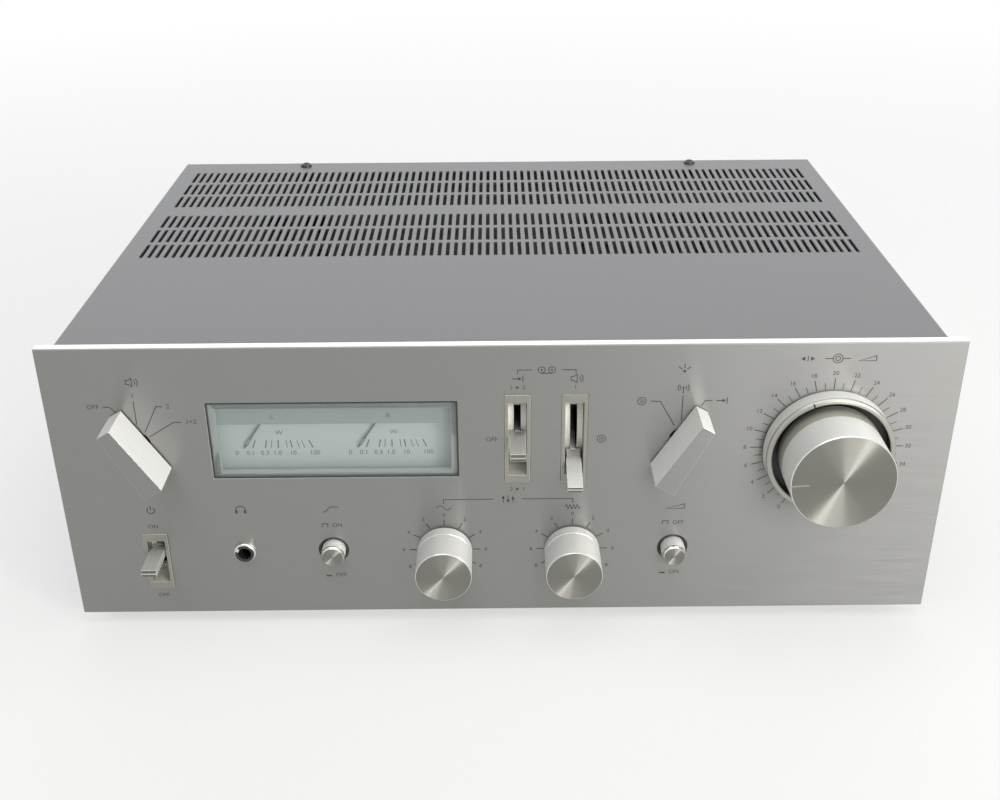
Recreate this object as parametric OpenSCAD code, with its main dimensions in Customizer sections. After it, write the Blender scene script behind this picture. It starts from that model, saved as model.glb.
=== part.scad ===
// Stereo amplifier: front panel towards -Y, feet on z = 0, millimetres.

/* [Case] */
// Width of the front panel
panel_w = 435; // [425:1:450]
// Height of the front panel
panel_h = 151; // [149:0.5:156]
// Thickness of the front panel
panel_t = 5; // [4:0.5:6]
// Height of the panel's lower edge over the floor
panel_gap = 7; // [5:0.5:9]
// How far the panel stands out past each side of the cover
cover_inset = 7; // [5.5:0.5:9.5]
// How far the panel stands above the cover
cover_drop = 1; // [0.5:0.5:3]
// Depth from the panel's face to the cover's rear edge
body_d = 296; // [290:1:306]
// Thickness of the steel sheets
sheet_t = 1.2; // [1:0.1:1.5]
// Gap between the panel and the sub-panel
sub_gap = 6; // [6:0.5:8]
// Outer radius of the cover's folds
fold_r = 1.5; // [0.5:0.1:3]
// Setback of the rear panel inside the cover
rear_inset = 2; // [1:0.5:4]
// Height of the feet
foot_h = 12; // [10:0.5:14]
// Radius of the feet
foot_r = 13; // [10:0.5:16]

/* [Vents] */
// Least plain metal at each end of a row of slots
vent_side = 10; // [8:0.5:40]
// Distance between slots
vent_pitch = 4.44; // [4.2:0.02:4.5]
// Width of a slot
vent_slot_w = 2.1; // [1.5:0.1:2.6]
// Length of a slot
vent_slot_l = 20.5; // [16:0.5:22]
// Metal between two rows
vent_row_gap = 4; // [3:0.5:5]
// Metal between the two bands
vent_band_gap = 16.5; // [12:0.5:22]
// Distance from the rear edge to the first row
vent_margin = 20.5; // [18:0.5:26]

/* [Layout] */
// Height of the upper row of controls on the panel
high_row = 101; // [98:0.5:104]
// Height of the lower row of controls on the panel
low_row = 37.6; // [35:0.2:40]
// Height of the volume axis on the panel
volume_row = 95.5; // [92:0.5:99]
// Distance of the speakers knob and the power lever from the panel's left end
speakers_inset = 42.9; // [40:0.2:46]
// Distance of the headphone jack from the left end
phones_inset = 87.4; // [84:0.1:91]
// Distance of the low filter button from the left end
filter_inset = 132.1; // [129:0.1:136]
// Distance of the tape copy lever from the left end
copy_inset = 224.9; // [222:0.1:228]
// Distance between the two tape levers
tape_pitch = 27.4; // [24:0.2:30]
// Sideways place of the bass knob from the panel's middle
bass_x = -29.3; // [-32:0.1:-26]
// Sideways place of the treble knob from the middle
treble_x = 34.8; // [32:0.1:38]
// Sideways place of the function knob and the loudness button from the middle
function_x = 85.8; // [84:0.2:88]
// Distance of the volume axis from the panel's right end
volume_inset = 60.4; // [57:0.1:64]

/* [Knobs] */
// Gap between a knob and the panel
knob_gap = 0.9; // [0.6:0.1:1.4]
// Length of a bar knob
bar_l = 37.5; // [32:0.5:42]
// Width of a bar knob at its tail
bar_tail_w = 10.4; // [9:0.2:13]
// Width of a bar knob at its tip
bar_tip_w = 7; // [6:0.2:9]
// How far a bar knob stands out
bar_reach = 22; // [18:0.5:26]
// Radius of a tone knob
tone_r = 13.8; // [12:0.1:15]
// How far a tone knob stands out
tone_reach = 24.4; // [20:0.2:28]
// Radius of the volume knob
volume_r = 24.6; // [23:0.1:26]
// How far the volume knob stands out
volume_reach = 34; // [30:0.5:38]
// Outer radius of the balance ring
ring_r = 31; // [30:0.2:33]
// Inner radius of the balance ring's rim
ring_in_r = 28.2; // [27.2:0.1:29]
// How far the balance ring stands out
ring_reach = 10; // [8:0.5:12]
// Radius of a control shaft
shaft_r = 3; // [2.5:0.1:3.2]
// Chamfer on turned edges
edge = 0.6; // [0.3:0.1:1]

/* [Buttons and levers] */
// Radius of a push button
button_r = 6; // [5:0.1:6.2]
// Radius of the hole round a push button
button_hole_r = 7.75; // [7.2:0.05:9]
// How far a released button stands out
button_reach = 8.5; // [7:0.1:10]
// Travel of a button to its latched place
button_latch = 2.1; // [1.5:0.1:2.5]
// Full travel of a button
button_travel = 4; // [3:0.1:4.4]
// Width of a lever bezel
bezel_w = 12.4; // [11:0.2:14]
// Height of a tape lever bezel
bezel_h = 48; // [46:0.5:52]
// Height of the power lever bezel
power_bezel_h = 33; // [32:0.5:36]
// Depth of the lever pivots behind the panel's face
pivot_depth = 36; // [34:0.5:38]
// Width of a lever's paddle
lever_w = 7.4; // [6:0.2:8]
// Thickness of a lever's paddle
lever_t = 3.8; // [3:0.1:4.4]
// How far a level lever stands out
lever_reach = 18; // [16:0.5:20]
// Tilt of the tape levers at their ends
lever_tilt = 22; // [16:1:24]

/* [Meter] */
// Distance of the meter's middle from the panel's left end
meter_inset = 136.3; // [133:0.1:139]
// Width of the meter's cutout
meter_w = 119.8; // [116:0.2:124]
// Height of the meter's cutout
meter_h = 41.4; // [39:0.2:44]
// Width of the meter's border above the dial
meter_border = 3.9; // [3:0.1:5]
// Width of the meter's border at each end
meter_end_border = 2.9; // [2.4:0.1:4]
// Width of the meter's border below the dial
meter_low_border = 1.2; // [1:0.1:3]
// Width of the black line
gasket_w = 0.6; // [0.4:0.1:1]
// Depth of the dial behind the panel's face
dial_depth = 10.5; // [10:0.5:13]
// Distance between the two needles' pivots
needle_gap = 56; // [50:0.5:58]
// Length of a needle
needle_l = 31.5; // [29:0.5:33]
// Height of the needle pivots above the meter's middle
needle_rise = 17.2; // [16:0.2:19]
// Swing of a needle to each side
needle_swing = 34; // [30:1:36]
// Height of the header strip
header_h = 10.2; // [8:0.1:11]

/* [Rear] */
// How far the input jacks stand out of the rear panel
jack_reach = 10; // [8:0.5:12]
// Radius of an input jack
jack_r = 4.15; // [3.8:0.05:4.3]
// Input jacks in a row
jack_count = 6; // [4:1:7]
// Distance between input jacks
jack_pitch = 16; // [14:0.5:18]
// Radius of a loudspeaker socket
socket_r = 9; // [7.5:0.1:9.5]
// Length of the strain relief outside the rear panel
boot_l = 24; // [20:1:30]
// Bore radius of the headphone jack
phones_r = 3.25; // [3.2:0.05:3.4]

/* [Inside] */
// Width of the transformer core
core_w = 78; // [70:1:84]
// Depth of the transformer core
core_d = 42; // [36:1:48]
// Height of the transformer core
core_h = 66; // [58:1:74]
// Width of the heat sink
sink_w = 214; // [180:2:220]
// Depth of the heat sink's fins
sink_d = 72; // [50:1:76]
// Height of the heat sink
sink_h = 112; // [90:1:120]
// Number of fins
fin_count = 22; // [12:1:24]
// Height of the main board over the pan
board_rise = 10; // [8:0.5:14]

/* [Hidden] */
$fn = 48;

// Clearances: running, push and loose fits, room round a bush, a button or a body, gap at a bore's end
play = 0.05;
press = 0.02;
fit_gap = 0.1;
bush_room = 0.6;
button_room = 0.5;
body_room = 0.5;
end_gap = 1;

// How far cuts run past a face, and how far joined shapes run into each other
over = 1;
lap = 0.5;
join = 0.01;

// Case: along Y the origin is midway from the volume knob's face to the end of the strain relief
front_y = (volume_reach + rear_inset - body_d - boot_l) / 2;
panel_back = front_y + panel_t;
sub_y = panel_back + sub_gap;
sub_back = sub_y + sheet_t;
back_y = front_y + body_d;
rear_y = back_y - rear_inset;
rear_in = rear_y - sheet_t;
panel_top = panel_gap + panel_h;
cover_z = panel_top - cover_drop;
cover_in_z = cover_z - sheet_t;
cover_w = panel_w - 2 * cover_inset;
inner_w = cover_w - 2 * sheet_t;
pan_z = foot_h;
pan_top = pan_z + sheet_t;
high_z = panel_gap + high_row;
low_z = panel_gap + low_row;
volume_z = panel_gap + volume_row;
panel_bevel = 0.5;
left_end = -panel_w / 2;
speakers_x = left_end + speakers_inset;
phones_x = left_end + phones_inset;
filter_x = left_end + filter_inset;
meter_x = left_end + meter_inset;
copy_x = left_end + copy_inset;
monitor_x = copy_x + tape_pitch;
volume_x = panel_w / 2 - volume_inset;

// Screws
screw_r = 2;
screw_head_r = 3.6;
screw_head_h = 2;
screw_l = 12;
screw_head_slope = 0.8;
foot_inset_x = 40;
foot_inset_y = 34;
foot_recess = 5;
foot_recess_room = 1.2;
foot_edge = 1.5;
foot_places = [for (sx = [-1, 1], y = [panel_back + foot_inset_y, back_y - foot_inset_y])
    [sx * (cover_w / 2 - foot_inset_x), y]];
top_screw_x = 128.6;
top_screw_inset = 6.5;
top_screw_y = back_y - top_screw_inset;
side_screw_rise = 12;
side_screw_z = pan_top + side_screw_rise;
side_screw_inset = 30;
side_screw_ys = [panel_back + side_screw_inset, back_y - side_screw_inset];
earth_x = 0;
earth_z = 60;
rear_flange = 12;
pan_flange = 24;
pan_slot_w = 4;
pan_slot_l = 22;
pan_slot_pitch = 10;
pan_slot_count = 18;
pan_slot_inset = 12;
pan_row_pitch = 30;

// Rotary controls
bush_r = 4.5;
bush_l = 7.5;
nut_r = 7.5;
nut_h = 2.5;
volume_nut_r = 9.5;
shaft_in = 14;
shaft_end = sub_back + shaft_in;
switch_r = 15;
switch_l = 20;
pot_r = 12;
pot_l = 18;
grip = 9;
sleeve_r = 4.4;
volume_bush_r = 6.2;
volume_pot_r = 16;
volume_pot_l = 34;
volume_pot_end = 5;
sleeve_in = 10;
sleeve_end = sub_back + sleeve_in;
ring_floor = 3.2;
volume_floor = 4.2;
tone_groove_at = 6;
tone_groove = 0.5;
pointer_angle = -94.4;
pointer_l = 9;
pointer_w = 0.9;
pointer_cut = 0.35;
balance_angle = -22;
speakers_angle = -30;
function_angle = 30;

// Buttons
button_l = 14.5;
stem_r = 2.5;
stem_l = 16;
collar_flange = 1.4;
collar_set = 0.7;
collar_lip = 1.5;
push_switch = [18, 30, 14];

// Levers
power_x = speakers_x;
power_offset = 0.6;
power_z = low_z - power_offset;
power_drop = 21.6;
power_tilt = 21;
power_rise = 2;
drum_depth = 7;
drum_r = pivot_depth - drum_depth;
drum_wall = 2;
bezel_wall = 1.7;
well_w = bezel_w - 2 * bezel_wall;
bezel_end = 4.2;
bezel_proud = 0.4;
bezel_slot_w = 3.2;
stem_w = 2.6;
stem_t = 3;
stem_root = 2.5;
neck_step = 0.5;
neck_w = lever_w - 2 * neck_step;
neck_t = 2.6;
lever_gap = 0.6;
hub_r = 4;
pin_r = 1.5;
lever_l = pivot_depth + lever_reach;
groove_w = 0.8;
groove_d = 0.5;
paddle_lap = 0.3;
swing_room = 1.5;
side_room = 0.7;
spacer_gap = 0.3;
lever_switch_w = 14;
lever_switch_d = 31;
lever_switch_wall = 2;
power_switch_trim = 4;
tape_switch_trim = 8;
power_switch_h = power_bezel_h - power_switch_trim;
tape_switch_h = bezel_h - tape_switch_trim;

// Meter
meter_offset = 0.2;
meter_z = high_z + meter_offset;
window_t = 2;
window_set = 0.3;
gasket_set = 0.1;
housing_wall = 1.5;
housing_side = 3;
housing_top = 34;
housing_bottom = 24;
housing_depth = 24;
dial_t = 1;
strip_t = 1;
strip_gap = 0.2;
strip_post_w = 1.5;
spindle_room = 1;
needle_t = 0.6;
needle_lift = 1.2;
needle_hub_r = 2.2;
needle_hub_t = 1.4;
spindle_r = 0.8;
needle_w = 0.7;
lance_w = 1.3;
lance_l = 6.5;
lance_tip = 1.5;
tail_l = 6.5;
tail_weight_l = 3;
spindle_out = 2.4;
spindle_in = 2;
movement_r = 11;
lamp_r = 3;
lamp_l = 16;
lamp_inset = 11;
lamp_drop = 14;
lamp_off = 6;
lamp_clip_w = 4;
lamp_clip_h = 3;

// Headphone jack
jack_bush_r = 4.8;
jack_body = [15, 26, 15];
ring_nut_r = 5.6;
ring_nut_h = 2.2;
bush_proud = 0.4;
jack_end = 2;

// Inside
transformer_inset = 85.5;
transformer_back = 172;
transformer_at = [left_end + transformer_inset, front_y + transformer_back, pan_top];
coil_bulge = 12;
coil_play = 0.3;
sink_x = 42;
sink_back = 128;
sink_y = front_y + sink_back;
sink_base = 5;
fin_t = 2;
fin_rise = 4;
board_w = 262;
board_d = 62;
board_t = 1.6;
board_x = 52;
board_gap = 6;
post_r = 3;
post_inset = 8;
cap_r = 17;
cap_h = 52;
cap_gap = 40;
transistor = [16, 4.6, 21];
transistor_count = 4;
transistor_rise = 69.4;

// Rear
upper_row = 112;
jack_lower_row = 92;
socket_lower_row = 82;
jack_row_z = [panel_gap + upper_row, panel_gap + jack_lower_row];
jack_x = 60;
jack_in = 8;
jack_neck_r = 3.4;
jack_neck_l = 0.8;
jack_flange_w = 2;
jack_flange_t = 3;
jack_bore_r = 1.6;
socket_x = -150;
socket_pitch = 26;
socket_row_z = [panel_gap + upper_row, panel_gap + socket_lower_row];
socket_in = 9;
socket_lip = 2;
socket_lip_w = 1.5;
socket_neck_r = socket_r - socket_lip_w;
socket_floor = 2;
socket_pin_r = 1.5;
socket_slot_w = 1.6;
socket_slot_h = 3;
socket_slot_drop = 5.5;

// Lead: a flat twin flex on edge, its route and its coil
lead_w = 7.4;
lead_t = 3.8;
lead_exit = [-57, rear_y + boot_l, 22];
lead_drops = [
    [0, 0, 22], [0, 16, 21.5], [0, 30, 19], [1, 42, 15.5], [6, 56, 11], [15, 69, 7.5],
    [27, 78, 5.2], [41, 84, 4.4], [57, 86, 4.2], [77, 86, 4.2], [95, 86, 4.2], [109, 86, 4.2]
];
lead_route = [for (p = lead_drops) [lead_exit[0] + p[0], lead_exit[1] + p[1], p[2]]];
coil_lead_in = 8;
coil_r = 50;
lead_end = lead_route[len(lead_route) - 1];
coil_c = [lead_end[0] + coil_lead_in, lead_end[1] - coil_r];
coil_step = 4.4;
coil_turns = 2.75;
coil_start_angle = 90;
coil_dip = 2.2;
coil_low = lead_end[2];
coil_rise = 8;
coil_tail = 40;
loop_rings = 24;
tie_w = 6;
tie_t = 0.35;
tie_gap = 0.6;
tie_head = 0.15;
boot_r = 8;
boot_flange_w = 2;
boot_neck_r = boot_r - boot_flange_w;
boot_in = 6;
boot_flange = 3;
boot_step = 1.5;
boot_step_l = 1;
boot_tip_r = 5;
plug_r = 12.2;
plug_l = 46;
plug_edge = 1;
plug_neck_r = 4.5;
plug_neck_end_r = 5.5;
plug_neck_l = 9;
plug_shoulder_l = 6;
plug_pin_r = 2.4;
plug_pin_l = 19;
plug_pin_gap = 13;

// A box between two corners
module block(a, b) translate(a) cube(b - a);

// Moves to a place on the panel
module at(x, z) translate([x, 0, z]) children();

// A cylinder along Y
module rod(r, y0, y1) translate([0, y0, 0]) rotate([-90, 0, 0]) cylinder(r = r, h = y1 - y0);

// A cylinder along X
module pin(r, x0, x1) translate([x0, 0, 0]) rotate([0, 90, 0]) cylinder(r = r, h = x1 - x0);

// A profile of [radius, y] turned about Y
module turned(profile) rotate([-90, 0, 0]) rotate_extrude() polygon(profile);

// An outline seen from the front, from one distance before the panel to another
module before_panel(near, far)
    translate([0, front_y - near, 0]) rotate([90, 0, 0]) linear_extrude(far - near) children();

// A box in the panel's plane, centred, between two depths
module plate(w, h, y0, y1) block([-w / 2, y0, -h / 2], [w / 2, y1, h / 2]);

// A pan head screw along -Z with its head's underside at the origin
module screw() {
    cylinder(r1 = screw_head_r, r2 = screw_head_r - screw_head_slope, h = screw_head_h);
    translate([0, 0, -screw_l]) cylinder(r = screw_r, h = screw_l + join);
}

// Case
module panel_outline() {
    b = panel_bevel;
    polygon([
        [front_y, panel_gap + b], [front_y + b, panel_gap], [panel_back, panel_gap],
        [panel_back, panel_top], [front_y + b, panel_top], [front_y, panel_top - b]
    ]);
}

module front_panel() color("silver") difference() {
    translate([-panel_w / 2, 0, 0]) rotate([90, 0, 90]) linear_extrude(panel_w) panel_outline();
    for (x = [speakers_x, function_x]) at(x, high_z) panel_hole(bush_r + bush_room);
    for (x = [bass_x, treble_x]) at(x, low_z) panel_hole(bush_r + bush_room);
    at(volume_x, volume_z) panel_hole(volume_bush_r + bush_room);
    for (x = [filter_x, function_x]) at(x, low_z) panel_hole(button_hole_r);
    at(phones_x, low_z) panel_hole(jack_bush_r + fit_gap);
    for (x = [copy_x, monitor_x]) at(x, high_z) panel_cutout(bezel_w, bezel_h);
    at(power_x, power_z - power_drop + power_bezel_h / 2) panel_cutout(bezel_w, power_bezel_h);
    at(meter_x, meter_z) panel_cutout(meter_w, meter_h);
}

module panel_hole(r) rod(r, front_y - over, panel_back + over);

module panel_cutout(w, h)
    plate(w + 2 * fit_gap, h + 2 * fit_gap, front_y - over, panel_back + over);

module sub_panel() color("dimgray") difference() {
    w = inner_w / 2 - sheet_t - fit_gap;
    top = cover_in_z - fit_gap;
    union() {
        block([-w, sub_y, pan_top], [w, sub_back, top]);
        block([-w, panel_back, pan_top], [w, sub_back, pan_top + sheet_t]);
        block([-w, panel_back, top - sheet_t], [w, sub_back, top]);
    }
    for (x = [speakers_x, function_x]) at(x, high_z) sub_hole(bush_r + play);
    for (x = [bass_x, treble_x]) at(x, low_z) sub_hole(bush_r + play);
    at(volume_x, volume_z) sub_hole(volume_bush_r + play);
    for (x = [filter_x, function_x]) at(x, low_z) sub_hole(stem_r + button_room);
    at(phones_x, low_z)
        plate(jack_body[0] + 2 * body_room, jack_body[2] + 2 * body_room, sub_y - over, sub_back + over);
    for (x = [copy_x, monitor_x]) at(x, high_z) lever_pass(lever_tilt, lever_tilt);
    at(power_x, power_z) lever_pass(0, power_tilt);
    at(meter_x, meter_z) housing_box(body_room, sub_y - over, sub_back + over);
}

module sub_hole(r) rod(r, sub_y - over, sub_back + over);

// The slot in the sub-panel that a lever's stem swings through
module lever_pass(up, down) {
    reach = front_y + pivot_depth - sub_y;
    spare = stem_t / 2 + swing_room;
    block(
        [-stem_w / 2 - side_room, sub_y - over, -reach * tan(down) - spare],
        [stem_w / 2 + side_room, sub_back + over, reach * tan(up) + spare]
    );
}

module chassis_pan() color("gray") difference() {
    w = inner_w / 2 - fit_gap;
    union() {
        block([-w, panel_back, pan_z], [w, rear_in, pan_top]);
        for (s = [0, 1]) mirror([s, 0, 0])
            block([w - sheet_t, panel_back, pan_z], [w, rear_in, pan_top + pan_flange]);
    }
    for (p = foot_places)
        translate([p[0], p[1], pan_z - over]) cylinder(r = screw_r + play, h = sheet_t + 2 * over);
    for (s = [0, 1], y = side_screw_ys) mirror([s, 0, 0])
        translate([0, y, side_screw_z]) pin(screw_r + play, w - sheet_t - over, w + over);
    for (row = [0, 1], i = [0:pan_slot_count - 1])
        translate([
            sink_x + (i - (pan_slot_count - 1) / 2) * pan_slot_pitch - pan_slot_w / 2,
            sink_y + pan_slot_inset + row * pan_row_pitch,
            pan_z - over
        ]) cube([pan_slot_w, pan_slot_l, sheet_t + 2 * over]);
}

module rear_panel() color("gray") difference() {
    w = inner_w / 2 - fit_gap;
    top = cover_in_z - fit_gap;
    union() {
        block([-w, rear_in, pan_z], [w, rear_y, top]);
        block([-w, rear_y - rear_flange, top - sheet_t], [w, rear_y, top]);
    }
    for (p = jack_places()) at(p[0], p[1]) rear_hole(jack_r + play);
    for (p = socket_places()) at(p[0], p[1]) rear_hole(socket_neck_r + play);
    at(lead_exit[0], lead_exit[2]) rear_hole(boot_neck_r + play);
    at(earth_x, earth_z) rear_hole(screw_r + play);
    for (s = [-1, 1]) translate([s * top_screw_x, top_screw_y, top - sheet_t - over])
        cylinder(r = screw_r + play, h = sheet_t + 2 * over);
}

module rear_hole(r) rod(r, rear_in - over, rear_y + over);

// Vent slots: two bands of three rows, placed from the rear edge
rows_in_band = 3;
vent_row_pitch = vent_slot_l + vent_row_gap;
vent_band_pitch = rows_in_band * vent_row_pitch - vent_row_gap + vent_band_gap;
vent_count = floor((cover_w - 2 * vent_side) / vent_pitch);
function vent_rows() = [for (band = [0, 1], row = [0:rows_in_band - 1])
    back_y - vent_margin - vent_slot_l / 2 - row * vent_row_pitch - band * vent_band_pitch];

// The cover's sheet seen from the front: two sides and a top, with rounded folds
module cover_section() difference() {
    union() {
        translate([-cover_w / 2, pan_z]) square([cover_w, cover_z - fold_r - pan_z]);
        translate([-cover_w / 2 + fold_r, pan_z]) square([cover_w - 2 * fold_r, cover_z - pan_z]);
        for (s = [-1, 1]) translate([s * (cover_w / 2 - fold_r), cover_z - fold_r]) circle(r = fold_r);
    }
    translate([-inner_w / 2, pan_z - over]) square([inner_w, cover_in_z - pan_z + over]);
}

module top_cover() color("darkgray") difference() {
    translate([0, back_y, 0]) rotate([90, 0, 0]) linear_extrude(back_y - panel_back) cover_section();
    translate([0, 0, cover_in_z - over]) linear_extrude(sheet_t + 2 * over)
        for (y = vent_rows(), i = [0:vent_count - 1])
            translate([(i - (vent_count - 1) / 2) * vent_pitch, y])
                square([vent_slot_w, vent_slot_l], center = true);
    for (s = [-1, 1]) translate([s * top_screw_x, top_screw_y, cover_in_z - over])
        cylinder(r = screw_r + play, h = sheet_t + 2 * over);
    for (s = [0, 1], y = side_screw_ys) mirror([s, 0, 0])
        translate([0, y, side_screw_z]) pin(screw_r + play, inner_w / 2 - over, cover_w / 2 + over);
}

module feet() color("black") for (p = foot_places) translate([p[0], p[1], 0]) difference() {
    rotate_extrude() polygon([
        [0, 0], [foot_r - foot_edge, 0], [foot_r, foot_edge], [foot_r, foot_h], [0, foot_h]
    ]);
    translate([0, 0, -over]) cylinder(r = screw_head_r + foot_recess_room, h = foot_recess + over);
    cylinder(r = screw_r + play, h = foot_h + over);
}

module case_screws() color("dimgray") {
    for (p = foot_places) translate([p[0], p[1], foot_recess]) mirror([0, 0, 1]) screw();
    for (s = [-1, 1]) translate([s * top_screw_x, top_screw_y, cover_z]) screw();
    for (s = [0, 1], y = side_screw_ys) mirror([s, 0, 0])
        translate([cover_w / 2, y, side_screw_z]) rotate([0, 90, 0]) screw();
    translate([earth_x, rear_y, earth_z]) rotate([-90, 0, 0]) screw();
}

// Meter
module housing_box(grow, y0, y1) {
    w = meter_w / 2 + housing_side + grow;
    block([-w, y0, -housing_bottom - grow], [w, y1, housing_top + grow]);
}

module meter_window() color("lightcyan", 0.4) at(meter_x, meter_z)
    plate(meter_w - 2 * gasket_w - 2 * fit_gap, meter_h - 2 * gasket_w - 2 * fit_gap,
        front_y + window_set, front_y + window_set + window_t);

module meter_gasket() color("black") at(meter_x, meter_z) difference() {
    plate(meter_w, meter_h, front_y + gasket_set, front_y + window_set + window_t);
    plate(meter_w - 2 * gasket_w, meter_h - 2 * gasket_w, front_y - over, panel_back);
}

module meter_housing() color("lightgray") at(meter_x, meter_z) {
    mask_y = front_y + window_set + window_t;
    end_x = meter_w / 2 - gasket_w - meter_end_border;
    low_edge = -meter_h / 2 + gasket_w + meter_low_border;
    high_edge = meter_h / 2 - gasket_w - meter_border;
    end_y = panel_back + housing_depth;
    difference() {
        union() {
            plate(meter_w, meter_h, mask_y, panel_back);
            housing_box(0, panel_back, end_y);
        }
        block([-end_x, mask_y - over, low_edge], [end_x, panel_back + over, high_edge]);
        housing_box(-housing_wall, panel_back + housing_wall / 2, end_y - housing_wall);
    }
}

// Places of the two needle pivots
function pivot_x(side) = meter_x + side * needle_gap / 2;
pivot_z = meter_z + needle_rise;
dial_y = front_y + dial_depth;

module meter_dial() color("honeydew") difference() {
    w = meter_w / 2 + housing_side - housing_wall - fit_gap;
    top = meter_z + meter_h / 2 - gasket_w - meter_border;
    strip_y = panel_back + housing_wall / 2 + strip_gap;
    union() {
        block([meter_x - w, dial_y, meter_z - housing_bottom + housing_wall + fit_gap],
            [meter_x + w, dial_y + dial_t, meter_z + housing_top - housing_wall - fit_gap]);
        block([meter_x - w, strip_y, top - header_h], [meter_x + w, strip_y + strip_t, top]);
        for (s = [0, 1]) at(meter_x, 0) mirror([s, 0, 0])
            block([w - strip_post_w, strip_y, top - header_h], [w, dial_y + dial_t, top]);
    }
    for (side = [-1, 1]) at(pivot_x(side), pivot_z)
        rod(spindle_r + spindle_room, dial_y - over, dial_y + dial_t + over);
}

// A needle on its pivot, at the left end of its scale
module needle(side) color("black") at(pivot_x(side), pivot_z) {
    mid = dial_y - needle_lift;
    hub_y = mid - needle_hub_t / 2;
    flat_y = mid - needle_t / 2;
    rotate([0, needle_swing, 0]) difference() {
        union() {
            rod(needle_hub_r, hub_y, hub_y + needle_hub_t);
            block([-needle_w / 2, flat_y, -needle_l], [needle_w / 2, flat_y + needle_t, tail_l]);
            block([-lance_w / 2, flat_y, -needle_l + lance_tip],
                [lance_w / 2, flat_y + needle_t, -needle_l + lance_l]);
            block([-needle_hub_r, hub_y, tail_l - tail_weight_l],
                [needle_hub_r, hub_y + needle_hub_t, tail_l]);
        }
        rod(spindle_r + play, hub_y - over, hub_y + needle_hub_t + over);
    }
}

module left_needle() needle(-1);
module right_needle() needle(1);

module meter_movements() color("gray") for (side = [-1, 1]) at(pivot_x(side), pivot_z) {
    rod(spindle_r, dial_y - spindle_out, dial_y + dial_t + spindle_in);
    rod(movement_r, dial_y + dial_t, panel_back + housing_depth - housing_wall);
}

module meter_lamps() color("khaki") for (side = [-1, 1])
    at(meter_x + side * (meter_w / 2 - lamp_inset), meter_z - lamp_drop) {
        back = panel_back + housing_depth - housing_wall;
        translate([0, back - lamp_off, 0]) pin(lamp_r, -lamp_l / 2, lamp_l / 2);
        for (s = [-1, 1]) translate([s * lamp_l / 2, 0, 0])
            plate(lamp_clip_w, lamp_clip_h, back - lamp_off - lamp_clip_w / 4, back);
    }

// Rotary controls
module shaft(x, z, reach) at(x, z) rod(shaft_r, front_y - reach, shaft_end);

module bar_knob(x, angle) at(x, high_z) difference() {
    rotate([0, angle, 0]) before_panel(knob_gap, bar_reach) polygon([
        [-bar_tail_w / 2, -bar_l / 2], [bar_tail_w / 2, -bar_l / 2],
        [bar_tip_w / 2, bar_l / 2], [-bar_tip_w / 2, bar_l / 2]
    ]);
    rod(shaft_r + press, front_y - grip, front_y);
}

module rotary_body(x, z, r, l) at(x, z) difference() {
    union() {
        rod(bush_r, sub_y - bush_l, sub_back);
        rod(r, sub_back, sub_back + l);
    }
    rod(shaft_r + play, sub_y - bush_l - over, shaft_end + end_gap);
}

module speakers_knob() color("gainsboro") bar_knob(speakers_x, speakers_angle);
module speakers_shaft() color("gray") shaft(speakers_x, high_z, grip);
module speakers_switch() color("tan") rotary_body(speakers_x, high_z, switch_r, switch_l);
module function_knob() color("gainsboro") bar_knob(function_x, function_angle);
module function_shaft() color("gray") shaft(function_x, high_z, grip);
module function_switch() color("tan") rotary_body(function_x, high_z, switch_r, switch_l);

module tone_knob(x) at(x, low_z) difference() {
    base = front_y - knob_gap;
    face = front_y - tone_reach;
    groove = base - tone_groove_at;
    turned([
        [0, base], [tone_r - edge, base], [tone_r, base - edge],
        [tone_r, groove + tone_groove], [tone_r - tone_groove, groove], [tone_r, groove - tone_groove],
        [tone_r, face + edge], [tone_r - edge, face], [0, face]
    ]);
    rod(shaft_r + press, front_y - grip, front_y);
}

module bass_knob() color("gainsboro") tone_knob(bass_x);
module bass_shaft() color("gray") shaft(bass_x, low_z, grip);
module bass_pot() color("silver") rotary_body(bass_x, low_z, pot_r, pot_l);
module treble_knob() color("gainsboro") tone_knob(treble_x);
module treble_shaft() color("gray") shaft(treble_x, low_z, grip);
module treble_pot() color("silver") rotary_body(treble_x, low_z, pot_r, pot_l);

module volume_knob() color("gainsboro") at(volume_x, volume_z) {
    base = front_y - volume_floor;
    face = front_y - volume_reach;
    difference() {
        turned([
            [0, base], [volume_r - edge, base], [volume_r, base - edge],
            [volume_r, face + edge], [volume_r - edge, face], [0, face]
        ]);
        rod(shaft_r + press, base - grip, base + over);
        rotate([0, pointer_angle, 0])
            block([-pointer_w / 2, face - over, volume_r - pointer_l],
                [pointer_w / 2, face + pointer_cut, volume_r + over]);
    }
}

module volume_shaft() color("gray") at(volume_x, volume_z)
    rod(shaft_r, front_y - volume_floor - grip, sub_back + volume_pot_l - volume_pot_end - end_gap);

module balance_ring() color("gainsboro") at(volume_x, volume_z) {
    base = front_y - knob_gap;
    face = front_y - ring_reach;
    well = front_y - ring_floor;
    difference() {
        turned([
            [0, base], [ring_r - edge, base], [ring_r, base - edge],
            [ring_r, face + edge], [ring_r - edge, face],
            [ring_in_r + edge, face], [ring_in_r, face + edge], [ring_in_r, well], [0, well]
        ]);
        rod(sleeve_r + press, well - over, base + over);
        rotate([0, balance_angle, 0])
            block([-pointer_w / 2, face - over, ring_in_r - over],
                [pointer_w / 2, face + pointer_cut, ring_r + over]);
    }
}

module balance_sleeve() color("silver") at(volume_x, volume_z) difference() {
    rod(sleeve_r, front_y - ring_floor, sleeve_end);
    rod(shaft_r + play, front_y - ring_floor - over, sleeve_end + over);
}

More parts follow.
